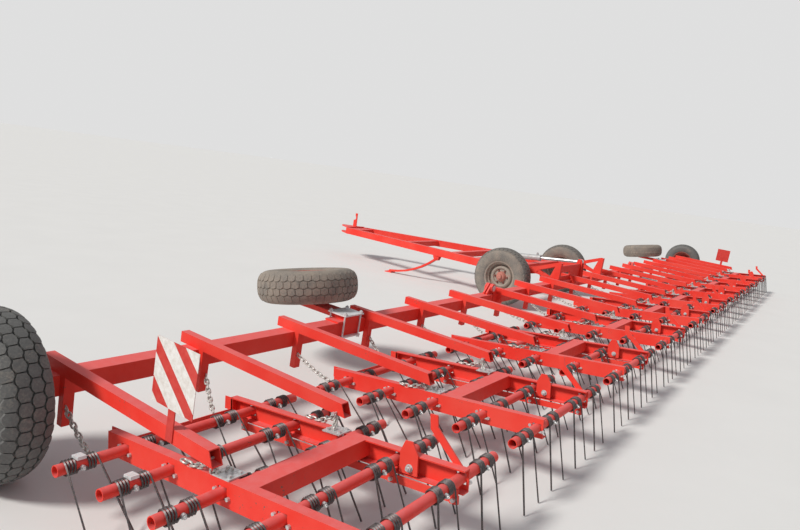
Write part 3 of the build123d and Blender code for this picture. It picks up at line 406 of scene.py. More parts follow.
def revolved(profile, sides):
    """Closed (x, radius) profile turned round the X axis: y = r sin a, z = r cos a."""
    profile = np.asarray(profile, float)
    turn = np.linspace(0, 2 * pi, sides, endpoint=False)[:, None]
    x = np.broadcast_to(profile[:, 0], (sides, len(profile)))
    y = profile[:, 1] * np.sin(turn)
    z = profile[:, 1] * np.cos(turn)
    return np.stack([x, y, z], axis=-1), grid_faces(sides, len(profile), True, True)


def swept(path, radius, sides, beside, closed=False):
    """Round wire: at each path point a circle square to the path, started from the side given."""
    path = np.asarray(path, float)
    if closed:
        ahead = np.roll(path, -1, axis=0) - np.roll(path, 1, axis=0)
    else:
        ahead = np.gradient(path, axis=0)
    ahead /= np.linalg.norm(ahead, axis=1, keepdims=True)
    side = np.asarray(beside, float) - ahead * np.sum(ahead * beside, axis=1, keepdims=True)
    side /= np.linalg.norm(side, axis=1, keepdims=True)
    third = np.cross(ahead, side)
    turn = np.linspace(0, 2 * pi, sides, endpoint=False)[None, :, None]
    ring = side[:, None] * np.cos(turn) + third[:, None] * np.sin(turn)
    points = path[:, None] + radius * ring
    if closed:
        return points, grid_faces(len(path), sides, True, True)[:, ::-1]
    start = np.repeat(path[:1, None], sides, axis=1)
    end = np.repeat(path[-1:, None], sides, axis=1)
    points = np.concatenate([start, points, end])
    return points, grid_faces(len(path) + 2, sides, False, True)[:, ::-1]


def prism(centre, axis, up, radius, depth, sides):
    """Hexagon-like solid: a ring of corners at each end of its depth and a middle point to each."""
    axis = np.asarray(axis, float)
    up = np.asarray(up, float)
    third = np.cross(axis, up)
    turn = np.linspace(0, 2 * pi, sides, endpoint=False)[:, None]
    ring = radius * (up * np.cos(turn) + third * np.sin(turn))
    base = np.asarray(centre, float)
    top = base + axis * depth
    rows = [base + 0 * ring, base + ring, top + ring, top + 0 * ring]
    return np.stack(rows), grid_faces(4, sides, False, True)[:, ::-1]


def stacked(base, axis, up, layers):
    """Prisms one on another along an axis, each layer a radius, a depth and a count of sides."""
    base, axis = np.asarray(base, float), np.asarray(axis, float)
    parts, rise = [], 0.0
    for layer in layers:
        parts.append(prism(base + axis * rise, axis, up, *layer))
        rise += layer[1]
    return join(parts)


BOX_FACES = np.array([
    (0, 2, 3, 1), (4, 5, 7, 6), (0, 1, 5, 4), (2, 6, 7, 3), (0, 4, 6, 2), (1, 3, 7, 5),
])


def box_points(size, centre):
    """Eight corners of a box of this size round a centre."""
    corners = np.stack(np.meshgrid((-0.5, 0.5), (-0.5, 0.5), (-0.5, 0.5), indexing="ij"), axis=-1)
    return corners.reshape(-1, 3) * np.asarray(size, float) + centre


def piece(name, shape, finish, body, smooth_angle=HARD_EDGES):
    """A mesh object at the origin, its doubled points merged, riding on a body."""
    points, faces = shape
    mesh = bpy.data.meshes.new(name)
    mesh.from_pydata(np.asarray(points).reshape(-1, 3).tolist(), [], np.asarray(faces).tolist())
    made = bpy.data.objects.new(name, mesh)
    bpy.context.collection.objects.link(made)
    bpy.context.view_layer.objects.active = made
    for other in bpy.context.selected_objects:
        other.select_set(False)
    made.select_set(True)
    bpy.ops.object.mode_set(mode="EDIT")
    bpy.ops.mesh.select_all(action="SELECT")
    bpy.ops.mesh.remove_doubles(threshold=1e-6)
    bpy.ops.mesh.normals_make_consistent(inside=False)
    bpy.ops.object.mode_set(mode="OBJECT")
    mesh.shade_smooth()
    mesh.set_sharp_from_angle(angle=radians(smooth_angle))
    mesh.materials.append(MATERIALS[finish])
    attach(made, body)
    return made


def section_piece(section, label, shape, finish, smooth_angle=HARD_EDGES):
    """A piece whose shape is given from a section's front, riding on the section's body."""
    points, faces = shape
    name = section.replace("_frame", "_") + label
    shape = on_section(points, section), faces
    return piece(name, shape, finish, body_of_node(section), smooth_angle)


# Finishes

MATERIALS = {}


def put(socket, value):
    """Link an output to a socket, or set a plain value on it; a colour needs no alpha."""
    if isinstance(value, bpy.types.NodeSocket):
        socket.id_data.links.new(value, socket)
    elif socket.type == "RGBA":
        socket.default_value = (*value[:3], 1.0)
    else:
        socket.default_value = value


def add(tree, kind, inputs=None, **settings):
    """A shader node with its settings, and its inputs given as values or linked outputs."""
    made = tree.nodes.new(kind)
    for key, value in settings.items():
        setattr(made, key, value)
    for key, value in (inputs or {}).items():
        put(made.inputs[key], value)
    return made


def finish_material(name):
    """A material, its principled shader and its Object coordinates."""
    material = bpy.data.materials.new(name)
    material.use_nodes = True
    tree = material.node_tree
    tree.nodes.clear()
    shader = add(tree, "ShaderNodeBsdfPrincipled")
    add(tree, "ShaderNodeOutputMaterial", {"Surface": shader.outputs["BSDF"]})
    return material, shader, add(tree, "ShaderNodeTexCoord").outputs["Object"]


def finish_shader(shader, base, rough=None, normal=None):
    """Link a finish's colour, and its roughness and normal where it has them, to its shader."""
    for name, output in (("Base Color", base), ("Roughness", rough), ("Normal", normal)):
        if output:
            put(shader.inputs[name], output)


def noise(place, scale, detail=4.0, roughness=0.6):
    inputs = {"Vector": place, "Scale": scale, "Detail": detail, "Roughness": roughness}
    return add(place.id_data, "ShaderNodeTexNoise", inputs).outputs["Fac"]


def stretch(value, low, high, to_low=0.0, to_high=1.0):
    """The value carried from one range to another and held at its ends."""
    inputs = {0: value, 1: low, 2: high, 3: to_low, 4: to_high}
    return add(value.id_data, "ShaderNodeMapRange", inputs, clamp=True).outputs["Result"]


def maths(operation, first, second=0.0):
    inputs = {0: first, 1: second}
    return add(first.id_data, "ShaderNodeMath", inputs, operation=operation).outputs[0]


def vector_maths(operation, first, second=(0.0, 0.0, 0.0)):
    inputs = {0: first, 1: second}
    return add(first.id_data, "ShaderNodeVectorMath", inputs, operation=operation).outputs


def split(vector):
    """The X, Y and Z of a vector, by name."""
    return add(vector.id_data, "ShaderNodeSeparateXYZ", {0: vector}).outputs


def blend_colours(factor, first, second):
    """The first colour, turned to the second as far as the factor says."""
    inputs = {0: factor, 6: first, 7: second}
    return add(factor.id_data, "ShaderNodeMix", inputs, data_type="RGBA").outputs[2]


def upward(place):
    """How far a face looks up, from -1 under the object to 1 on top."""
    return split(add(place.id_data, "ShaderNodeTexCoord").outputs["Normal"])["Z"]


def bump(height, strength, distance):
    inputs = {"Height": height, "Strength": strength, "Distance": distance}
    return add(height.id_data, "ShaderNodeBump", inputs).outputs["Normal"]


def red_paint():
    """Sun-bleached red paint: dust on top, painted shade on downward faces, chips to bare steel, orange-peel bump.
    """
    settings = bpy.context.scene.harrow_paint
    material, shader, place = finish_material("red_paint")
    fade = stretch(noise(place, 2.2, 5.0), 0.38, 0.66)
    base = blend_colours(fade, settings.red, settings.faded)
    streaks = stretch(noise(place, 26.0, 8.0, 0.7), 0.35, 0.75)
    up = upward(place)
    dusty = maths("MULTIPLY", stretch(up, 0.35, 1.0), stretch(streaks, 0.0, 1.0, 0.35, 0.85))
    base = blend_colours(dusty, base, settings.dust)
    # Painted shade: faces that look down turn, in streaks, to the dark red of the shade under the steelwork.
    under = maths("MULTIPLY", stretch(up, -0.2, -0.9), stretch(streaks, 0.0, 1.0, 0.45, 0.95))
    base = blend_colours(under, base, settings.underside_shade)
    spots = noise(place, 55.0, 10.0, 0.75)
    worn = maths("ADD", spots, stretch(noise(place, 5.0, 3.0), 0.3, 0.7, -0.12, 0.10))
    edge = 0.80 - 0.4 * settings.chips
    chips = stretch(worn, edge, edge + 0.02)
    base = blend_colours(chips, base, settings.bare)
    rough = stretch(maths("ADD", streaks, dusty), 0.0, 1.6, 0.46, 0.80)
    height = maths("SUBTRACT", noise(place, 320.0, 3.0), maths("MULTIPLY", chips, 0.9))
    finish_shader(shader, base, rough, bump(height, 0.22, 0.0008))
    shader.inputs["Specular IOR Level"].default_value = 0.35
    return material


def from_axle(place, kind):
    """Distance from the axle of a kind of wheel; left mirrors right, so |x| serves both."""
    joint = JOINTS["right_" + kind + "_wheel_spin"]
    parts = split(place)
    inputs = {0: maths("ABSOLUTE", parts["X"]), 1: parts["Y"], 2: parts["Z"]}
    mirrored = add(place.id_data, "ShaderNodeCombineXYZ", inputs).outputs[0]
    away = vector_maths("SUBTRACT", mirrored, joint["pos_m"])[0]
    turned = vector_maths("CROSS_PRODUCT", away, joint["axis"])[0]
    return vector_maths("LENGTH", turned)["Value"]


def tyre_rubber(name, kind, mud_amount, soft, tread_share):
    """Worn rubber with dried mud in broad patches, softly edged, and less of it on the tread."""
    settings = bpy.context.scene.harrow_tyres
    material, shader, place = finish_material(name)
    fine = noise(place, 90.0, 8.0, 0.7)
    rubber = blend_colours(stretch(fine, 0.3, 0.7), settings.rubber, settings.worn)
    patches = maths("ADD", fine, noise(place, 9.0, 5.0, 0.6))
    muddy = stretch(patches, 1.16 - 0.5 * mud_amount - soft, 1.42 - 0.5 * mud_amount + soft)
    muddy = maths("MULTIPLY", muddy, stretch(from_axle(place, kind), *TREAD_EDGE, 1.0, tread_share))
    base = blend_colours(muddy, rubber, settings.mud)
    rough = stretch(muddy, 0.0, 1.0, 0.62, 0.95)
    finish_shader(shader, base, rough, bump(maths("ADD", fine, muddy), 0.35, 0.0015))
    return material


def wheel_steel(name, kind, paint_share, hub_share):
    """Dusty wheel steel: red paint left in patches over rust-brown steel, and on the hub."""
    settings = bpy.context.scene.harrow_wheels
    material, shader, place = finish_material(name)
    patches = noise(place, 14.0, 7.0, 0.65)
    grain = noise(place, 120.0, 5.0, 0.6)
    painted = stretch(patches, 0.62 - 0.5 * paint_share, 0.72 - 0.5 * paint_share)
    base = blend_colours(painted, settings.steel, settings.paint)
    dust = stretch(maths("ADD", grain, patches), 0.95, 1.3)
    base = blend_colours(dust, base, settings.dust)
    hub = stretch(from_axle(place, kind), *HUB_EDGE, 0.0, hub_share)
    hub = maths("MULTIPLY", hub, stretch(grain, 0.35, 0.55, 0.6, 1.0))
    base = blend_colours(hub, base, settings.hub)
    finish_shader(shader, base, stretch(grain, 0.3, 0.7, 0.5, 0.85), bump(grain, 0.3, 0.001))
    return material


def steel(name, base_colour, worn_colour, metallic, low_rough, high_rough, scale=60.0):
    """Plain or plated steel with patches of wear or rust and a fine grain."""
    material, shader, place = finish_material(name)
    patches = noise(place, scale, 8.0, 0.7)
    base = blend_colours(stretch(patches, 0.42, 0.66), base_colour, worn_colour)
    rough = stretch(patches, 0.3, 0.7, low_rough, high_rough)
    finish_shader(shader, base, rough, bump(noise(place, 400.0, 3.0), 0.15, 0.0006))
    shader.inputs["Metallic"].default_value = metallic
    return material


def board_stripes():
    """Red and white stripes that fall to the rear on the boards' faces, and red on their bars."""
    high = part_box("right_warning_board")[1]
    material, shader, place = finish_material("board_stripes")
    parts = split(place)
    way = maths("SUBTRACT", maths("MULTIPLY", parts["Z"], STRIPE_SLANT), parts["Y"])
    start = STRIPE_SLANT * high[2] - high[1] + STRIPE_START
    turns = maths("DIVIDE", maths("SUBTRACT", way, start), STRIPE_PITCH)
    wave = maths("FRACT", maths("ADD", turns, 8.0))
    white_part = stretch(wave, STRIPE_WHITE + 0.01, STRIPE_WHITE - 0.01)
    on_board = maths("GREATER_THAN", maths("ABSOLUTE", parts["X"]), high[0] - BOARD_SKIN)
    weather = noise(place, 40.0, 6.0, 0.7)
    red = blend_colours(stretch(weather, 0.35, 0.7), (0.55, 0.024, 0.018), (0.62, 0.065, 0.050))
    white = blend_colours(stretch(weather, 0.4, 0.7), (0.80, 0.78, 0.76), (0.62, 0.57, 0.52))
    face = blend_colours(maths("MULTIPLY", white_part, on_board), red, white)
    finish_shader(shader, face, stretch(weather, 0.3, 0.7, 0.3, 0.55))
    return material


def make_materials():
    """All finishes, by the name that the pieces ask for."""
    chain = bpy.context.scene.harrow_chains.steel
    wire = bpy.context.scene.harrow_tines.wire
    MATERIALS.update({
        "paint": red_paint(),
        "end_tyre": tyre_rubber("end_tyre_rubber", "end", 0.15, 0.0, 0.6),
        "transport_tyre": tyre_rubber("transport_tyre_rubber", "transport", 0.9, 0.15, 1.0),
        "centre_tyre": tyre_rubber("centre_tyre_rubber", "centre", 0.7, 0.15, 0.35),
        "end_wheel": wheel_steel("red_end_wheel", "end", 0.85, 0.0),
        "transport_wheel": wheel_steel("red_transport_wheel", "transport", 0.85, 0.8),
        "centre_wheel": wheel_steel("dusty_centre_wheel", "centre", 0.1, 0.9),
        "rusty": steel("rusty_nut", (0.26, 0.075, 0.060), (0.12, 0.060, 0.050), 0.1, 0.5, 0.8),
        "pale_zinc": steel(
            "pale_zinc_plate", (0.78, 0.80, 0.82), (0.62, 0.62, 0.62), 0.1, 0.30, 0.50, 30.0
        ),
        "zinc": steel("zinc_plate", (0.66, 0.67, 0.68), (0.46, 0.45, 0.44), 0.45, 0.34, 0.54),
        "wire": steel("spring_wire", wire, (0.150, 0.120, 0.115), 0.5, 0.32, 0.55, 90.0),
        "chain": steel("chain_steel", chain, (0.34, 0.31, 0.27), 0.4, 0.30, 0.55, 120.0),
        "barrel": steel("grey_barrel", (0.46, 0.47, 0.48), (0.36, 0.35, 0.33), 0.1, 0.35, 0.6, 25),
        "rod": steel("chromed_rod", (0.58, 0.59, 0.60), (0.50, 0.50, 0.50), 0.9, 0.30, 0.40, 20.0),
        "stripes": board_stripes(),
    })


def dress_node(node, material):
    """Give a carried-over node one of the finishes in all its slots."""
    for held in frame["nodes"][node].material_slots:
        held.material = MATERIALS[material]


class HARROW_OT_steelwork(bpy.types.Operator):
    """Paint the frame, drawbar, arms and rails, and finish the cylinder, pins and boards"""

    bl_idname = "harrow.steelwork"
    bl_label = "Paint the Steelwork"

    def execute(self, context):
        make_materials()
        finishes = {name: name for name in ("barrel", "rod", "chain")}
        finishes |= {"pins": "zinc", "wheel": "end_wheel"}
        for part in RECORD["subparts"]:
            dress_node(part["node"], finishes.get(part["material_slot"], "paint"))
        return {"FINISHED"}


# Wheels

def crown(settings, across, drop):
    """Tread radius at places across a tyre, a superellipse that stands lower by the drop:
    middle + rise (1 - |across / half|^p)^(1/p), with p the profile's roundness."""
    middle = settings.bead_radius + MIDDLE_SHARE * (settings.radius - settings.bead_radius)
    rise = settings.radius - drop - middle
    return middle + rise * (1 - np.abs(across * 2 / settings.width) ** ROUNDNESS) ** (1 / ROUNDNESS)


def tyre_surface(settings, block_height):
    """Carcass of a tyre, a closed profile turned round the axle. From its widest place to the
    crown it is a superellipse, across = half (cos t)^(2/p), rise (sin t)^(2/p); a quarter ellipse
    leads to the bead."""
    half = settings.width / 2 - CARCASS_INSET
    bead = settings.bead_radius
    middle = bead + MIDDLE_SHARE * (settings.radius - bead)
    rise = settings.radius - block_height - middle
    upper = np.linspace(0, pi / 2, 15)
    shoulder_x = half * np.cos(upper) ** (2 / ROUNDNESS)
    shoulder_r = middle + rise * np.sin(upper) ** (2 / ROUNDNESS)
    lower = np.linspace(pi / 2, 0, 6)[:-1]
    flank_x = BEAD_HALF + (half - BEAD_HALF) * np.cos(lower) ** FLANK_POWER
    flank_r = middle - (middle - bead - BEAD_RISE) * np.sin(lower)
    right = [(BEAD_FOOT, bead), *zip(flank_x, flank_r), *zip(shoulder_x[:-1], shoulder_r[:-1])]
    left = [(-x, r) for x, r in reversed(right)]
    inner = [(-INNER_HALF, bead + INNER_RISE), (INNER_HALF, bead + INNER_RISE)]
    return revolved(right + [(0.0, shoulder_r[-1])] + left + inner, 96)


def tread_blocks(settings, block_height):
    """Rows of blunt hexagons that point across the tyre, each row half a step on from the last.
    Their tops follow the crown, x = row + w u, angle = step + h v, and are a little smaller."""
    rows = (np.arange(settings.rows) - (settings.rows - 1) / 2) * settings.row_pitch
    count = settings.blocks
    step = 2 * pi / count
    middle = (np.arange(count) + 0.5 * (np.arange(settings.rows)[:, None] % 2)) * step
    across = settings.row_pitch * BLOCK_SHARE[0] * np.array(BLOCK_CORNERS)[:, 0]
    along = step / 2 * BLOCK_SHARE[1] * np.array(BLOCK_CORNERS)[:, 1]
    rings = []
    for spread, drop in ((0.0, 1.0), (1.0, 1.0), (BLOCK_TOP, 0.0), (0.0, 0.0)):
        x = rows[:, None, None] + spread * across
        x = np.broadcast_to(x, (len(rows), count, len(across)))
        turn = middle[:, :, None] + spread * along
        radius = crown(settings, x, drop * (block_height + BLOCK_ROOT))
        rings.append(np.stack([x, radius * np.sin(turn), radius * np.cos(turn)], axis=-1))
    points = np.stack(rings, axis=2).reshape(-1, len(rings) * len(across), 3)
    faces = grid_faces(len(rings), len(across), False, True)
    steps = (np.arange(len(points)) * points.shape[1])[:, None, None]
    return points.reshape(-1, 3), (faces[None] + steps).reshape(-1, 4)


def wheel_frame(joint, outward):
    """Matrix that carries the X axis of a wheel's shapes to its joint's axis, facing outward."""
    axis = Vector(outward).normalized()
    middle = Vector(JOINTS[joint]["pos_m"])
    turn = Vector((1, 0, 0)).rotation_difference(axis).to_matrix().to_4x4()
    return Matrix.Translation(middle) @ turn


def placed(points, matrix):
    """The points moved by a matrix."""
    turned = np.array(matrix.to_3x3())
    return points.reshape(-1, 3) @ turned.T + np.array(matrix.translation)


def each_wheel():
    """Name, kind and frame of each wheel; the wheel's middle is its tyre's."""
    for side, sign in (("left", -1), ("right", 1)):
        for kind in ("centre", "end", "transport"):
            name = side + "_" + kind
            joint = JOINTS[name + "_wheel_spin"]
            outward = joint["axis"] if kind == "transport" else (sign, 0, 0)
            yield name, kind, wheel_frame(name + "_wheel_spin", outward)


class HARROW_OT_tyres(bpy.types.Operator):
    """Tyres with bulged sidewalls and raised tread blocks"""

    bl_idname = "harrow.tyres"
    bl_label = "Make the Tyres"

    def execute(self, context):
        settings = context.scene.harrow_tyres
        for name, kind, place in each_wheel():
            height = settings.worn_height if kind == "transport" else settings.block_height
            points, faces = join([tyre_surface(settings, height), tread_blocks(settings, height)])
            shape = placed(points, place), faces
            tyre = piece("tyre_of_" + name, shape, kind + "_tyre", name + "_wheel", ROUND_EDGES)
            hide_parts(name + "_tyre")
        return {"FINISHED"}


def run(across, out, places):
    """A run of a profile, its places given from its own start."""
    return [(across + place[0], out + place[1]) for place in places]


def wheel_surface(settings):
    """Rim with flanges and well, dished disc, hub and cap, as one profile turned round the axle."""
    seat = settings.radius
    hub = settings.hub_radius
    face = settings.disc_offset
    lip = run(settings.width / 2, seat, RIM_LIP)
    other_lip = [(-x, r) for x, r in reversed(lip)]
    rim = lip + run(0.0, seat, WELL_OUTSIDE) + other_lip + run(0.0, seat, WELL_BACK)
    back = run(face, 0.0, DISC_BACK) + run(face, hub, HUB_BACK)
    middle = run(face, 0.0, BORE_AND_CAP)
    front = run(face, hub, HUB_FRONT) + run(face, 0.0, DISC_FRONT) + run(0.0, seat, WELL_FRONT)
    return revolved(rim + back + middle + front, 64)


def wheel_nuts(settings):
    """Hexagon nuts on the disc's inner ring, evenly round the axle, with a stud end in each."""
    parts = []
    face = settings.disc_offset - NUT_SEAT
    for turn in np.arange(settings.studs) * 2 * pi / settings.studs:
        out = np.array([0, sin(turn), cos(turn)])
        foot = out * settings.stud_circle + np.array([face, 0, 0])
        parts.append(stacked(foot, ACROSS, out, ((settings.nut_size / 2, NUT_DEPTH, 6), STUD_END)))
    return join(parts)


class HARROW_OT_wheels(bpy.types.Operator):
    """Pressed wheels with flanged rims, hubs, caps and nuts"""

    bl_idname = "harrow.wheels"
    bl_label = "Make the Wheels"

    def execute(self, context):
        settings = context.scene.harrow_wheels
        for name, kind, place in each_wheel():
            points, faces = wheel_surface(settings)
            shape = placed(points, place), faces
            wheel = piece("wheel_of_" + name, shape, kind + "_wheel", name + "_wheel")
            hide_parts(name + "_rim")
            points, faces = wheel_nuts(settings)
            finish = "rusty" if kind == "centre" else "zinc"
            nuts = piece("nuts_of_" + name, (placed(points, place), faces), finish, name + "_wheel")
        return {"FINISHED"}


# Tine sections

def pipe_surface(settings):
    """Hollow pipe along X: a square-cornered ring profile turned round the axis."""
    half = settings.pipe_length / 2
    outside = settings.pipe_radius
    inside = outside - settings.pipe_wall
    return revolved([(half, outside), (half, inside), (-half, inside), (-half, outside)], 20)


def spring_wire(settings, lean):
    """One double spring tine, from tip to tip. Each leg meets its coil along a tangent; the coil
    is a helix round the pipe, x falling evenly with the turn angle; a bridge along the pipe joins
    the two."""
    coil_radius = settings.pipe_radius + settings.wire_radius + COIL_CLEARANCE
    towards = atan2(-cos(lean), -sin(lean))
    leave = towards - acos(coil_radius / settings.reach)
    bridge = pi / 2 - CLAMP_LEAN
    wind = (settings.turns - 1) * 2 * pi + (leave - bridge) % (2 * pi)
    turn = np.linspace(0, wind, settings.turns * COIL_STEPS)
    along = np.linspace(settings.coil_end, settings.coil_gap, len(turn))
    ring = np.stack([np.cos(leave - turn), np.sin(leave - turn)], axis=-1) * coil_radius
    helix = np.column_stack([along, ring])
    tip = np.array([settings.gauge / 2, -settings.reach * sin(lean), -settings.reach * cos(lean)])
    leg = tip + (helix[0] - tip) * np.array(LEG_PLACES)[:, None]
    half = np.concatenate([leg, helix])
    path = np.concatenate([half, half[::-1] * np.array([-1, 1, 1])])
    radial = path * np.array([0, 1, 1])
    radial /= np.linalg.norm(radial, axis=1, keepdims=True)
    return swept(path, settings.wire_radius, WIRE_SIDES, radial)


def spring_clamps(settings):
    """Clamp over a spring's bridge, behind the pipe: a washer, a bolt head and its thread's end."""
    out = np.array([0, sin(CLAMP_LEAN), cos(CLAMP_LEAN)])
    return stacked(out * (settings.pipe_radius - 0.001), out, ACROSS, SPRING_CLAMP)


def end_plates(settings, side):
    """Square clamp plates on top of the outermost springs of an end section's first two pipes."""
    parts = []
    for row in range(2):
        place = row_places(settings, row)[-1 if side > 0 else 0]
        centre = place + np.array([0, 0, settings.pipe_radius + END_PLATE_RISE])
        parts.append((box_points(END_PLATE, centre), BOX_FACES))
    return join(parts)


def row_places(settings, row):
    """Middle of each spring of a row, given across, forward and up from the section's front."""
    back = settings.first_pipe + settings.pipe_pitch * row
    start = np.array([ROW_STAGGER[row], -back, -settings.pipe_depth])
    return start + np.outer(TINE_SETS, ACROSS)


def on_rows(settings, shape_of_row):
    """The shape of each row at each of its springs' places, as one set of points and quads."""
    rows = range(settings.rows)
    return join([copies(*shape_of_row(row), row_places(settings, row)) for row in rows])


class HARROW_OT_tines(bpy.types.Operator):
    """Tine pipes, the double springs wound on them and their clamp bolts"""

    bl_idname = "harrow.tines"
    bl_label = "Make the Tines"

    def execute(self, context):
        settings = context.scene.harrow_tines
        rows = np.arange(settings.rows)
        backs = settings.first_pipe + settings.pipe_pitch * rows
        pipe_places = np.stack([rows * 0.0, -backs, rows * 0.0 - settings.pipe_depth], axis=-1)
        pipes = copies(*pipe_surface(settings), pipe_places)
        springs = on_rows(settings, lambda row: spring_wire(settings, row_lean(row)))
        clamps = on_rows(settings, lambda row: spring_clamps(settings))
        for name in SECTIONS:
            label = name.replace("_frame", "")
            pipe = section_piece(name, "pipes", pipes, "paint", ROUND_EDGES)
            spring = section_piece(name, "springs", springs, "wire", WIRE_EDGES)
            clamp = section_piece(name, "clamps", clamps, "zinc")
            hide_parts(label + "_tines")
            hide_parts(label + "_tines")
        return {"FINISHED"}


# Chains

def chain_link(settings, pitch):
    """One link along Y: a stadium path, straight sides joined by half circles, as a round wire."""
    wire = settings.wire_radius
    bend = settings.link_width / 2 - wire
    straight = (pitch + 2 * wire) / 2 - bend - wire * 0.1
    turn = np.linspace(-pi / 2, pi / 2, 5)
    cap = np.stack([bend * np.sin(turn), straight + bend * np.cos(turn), turn * 0], axis=-1)
    path = np.concatenate([cap, cap * np.array([-1, -1, 1])])
    return swept(path, wire, LINK_SIDES, UP, closed=True)


def hung_chain(settings, start, end, sag, links=0):
    """Links in turn flat and on edge from start to end, their ends on a parabola that sags in its
    middle: way s along, drop 4 sag s (1 - s)."""
    run = np.linalg.norm(end - start)
    links = links or max(2, round(run / settings.link_pitch))
    ends = np.linspace(0, 1, links + 1)[:, None]
    path = start + (end - start) * ends - np.array([0, 0, 4 * sag]) * ends * (1 - ends)
    parts = []
    for link in range(links):
        near, far = path[link], path[link + 1]
        along = far - near
        length = np.linalg.norm(along)
        along = along / length
        side = np.cross(along, UP) if abs(along[2]) < 0.9 else np.array(ACROSS)
        side = side / np.linalg.norm(side)
        third = np.cross(side, along)
        shape, faces = chain_link(settings, length)
        shape = shape.reshape(-1, 3)
        across, up = (shape[:, 0], shape[:, 2]) if link % 2 else (shape[:, 2], shape[:, 0])
        middle = (near + far) / 2
        points = middle + across[:, None] * side + shape[:, 1:2] * along + up[:, None] * third
        parts.append((points, faces))
    return join(parts)


def draught_chain(settings, name, side):
    """Chain from a post's foot to its section: to the first pipe outside the rail on the section's
    side away from the machine's middle, to the front bar on the other."""
    tines = bpy.context.scene.harrow_tines
    middle = section_front(name)[0]
    start = np.array([middle + side * CHAIN_START_ACROSS, *beam_point(-POST_REAR, CHAIN_FOOT)])
    if side * middle < 0:
        end = on_section(CHAIN_END_ON_BAR * np.array([side, 1, 1]), name)
        return hung_chain(settings, start, end, settings.sag)
    across = side * CHAIN_END_ACROSS
    end = on_section(np.array([across, -tines.first_pipe, -tines.pipe_depth]), name)
    away = start - end
    end = end + away * tines.pipe_radius / np.linalg.norm(away)
    return hung_chain(settings, start, end, settings.sag)


def hanger_top(name, side, up):
    """World place over a rail, this far up from the underside of its arm's rear end."""
    x = section_front(name)[0] + side * (bpy.context.scene.harrow_tines.rail_half - HANGER_LINE)
    return np.array([x, *beam_point(-ARM_REAR + HANGER_INSET, ARM_LOW + up)])


def hanger(settings, name, side):
    """Chain from an arm's rear end down to its rail, and two slack ends looped beside it."""
    half = bpy.context.scene.harrow_tines.rail_half
    top = hanger_top(name, side, -HOOK_DROP)
    parts = []
    for inset, forward, up, sag, links in HANGER_RUNS:
        end = on_section(np.array([side * (half - inset), HANGER_BACK + forward, up]), name)
        parts.append(hung_chain(settings, top, end, sag, links))
    return join(parts)


def hanger_fittings(name, side):
    """Shackle under an arm's end, a wire bow with a cross bolt, and the rail's bolted plate."""
    half = bpy.context.scene.harrow_tines.rail_half
    top = hanger_top(name, side, BOW_RISE)
    turn = np.linspace(-0.15 * pi, 1.15 * pi, 13)
    bow = np.stack([np.cos(turn), turn * 0, -np.sin(turn)], axis=-1) * BOW_RADIUS
    points, faces = swept(bow, BOW_WIRE, LINK_SIDES, (0.0, 1.0, 0.0))
    parts = [(points + top, faces)]
    for start, layer in SHACKLE_BOLT:
        parts.append(prism(top + np.array([start, 0, 0.006]), ACROSS, UP, *layer))
    width, _, depth = PLATE_SIZE
    middle = np.array([side * (half - width / 2), HANGER_BACK - PLATE_BACK, depth / 2 + 0.0005])
    parts.append((on_section(box_points(PLATE_SIZE, middle), name), BOX_FACES))
    for inset in PLATE_BOLT_INSETS:
        for back in PLATE_BOLT_BACKS:
            foot = np.array([side * (half - inset), HANGER_BACK - back, depth])
            points, faces = prism(foot, UP, ACROSS, *PLATE_BOLT)
            parts.append((on_section(points, name), faces))
    return join(parts)


class HARROW_OT_chains(bpy.types.Operator):
    """Draught chains to the first tine pipes, and the chains that hang the rails from the arms"""

    bl_idname = "harrow.chains"
    bl_label = "Make the Chains"

    def execute(self, context):
        settings = context.scene.harrow_chains
        chains, fittings = {}, {}
        for name in SECTIONS:
            body = body_of_node(name)
            for side in (-1, 1):
                chains.setdefault(body, []).append(draught_chain(settings, name, side))
                chains[body].append(hanger(settings, name, side))
                fittings.setdefault(body, []).append(hanger_fittings(name, side))
        for body, parts in chains.items():
            made = piece("chains_of_" + body, join(parts), "chain", body, WIRE_EDGES)
            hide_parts(CHAIN_NODES[body])
            made = piece("shackles_of_" + body, join(fittings[body]), "zinc", body)
        return {"FINISHED"}


# Tilt cylinder

def cylinder_frame():
    """Matrix that carries the X axis to the line from the barrel's eye to the rod's."""
    barrel_eye = Vector((0, BEAM_Y + BARREL_EYE[0], BARREL_EYE[1]))
    rod_eye = Vector((0, *beam_point(*ROD_EYE)))
    turn = Vector((1, 0, 0)).rotation_difference(rod_eye - barrel_eye).to_matrix().to_4x4()
    return Matrix.Translation(barrel_eye) @ turn


def barrel_surface():
    """Barrel with its neck, gland and rod bore: one closed profile turned round its axis; the eye
    is a ring round the pin; each port is a boss with a hexagon fitting."""
    place = cylinder_frame()
    barrel, faces = revolved(BARREL_OUTLINE, 40)
    parts = [(placed(barrel, place), faces)]
    eye, faces = revolved(EYE_OUTLINE, 32)
    parts.append((eye + np.array(place.translation), faces))
    up = np.array(place.to_3x3())[:, 2]
    up = up if up[2] > 0 else -up
    for way in PORT_WAYS:
        foot = np.array(place @ Vector((way, 0, 0))) + up * PORT_FOOT
        parts.append(stacked(foot, up, ACROSS, PORT))
    return join(parts)


class HARROW_OT_cylinder(bpy.types.Operator):
    """Smooth barrel of the tilt cylinder with its gland, eye and ports"""

    bl_idname = "harrow.cylinder"
    bl_label = "Make the Cylinder's Barrel"

    def execute(self, context):
        body = body_of_node("cylinder_barrel")
        made = piece("barrel_of_cylinder", barrel_surface(), "barrel", body, ROUND_EDGES)
        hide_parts("cylinder_barrel")
        return {"FINISHED"}


# Fasteners

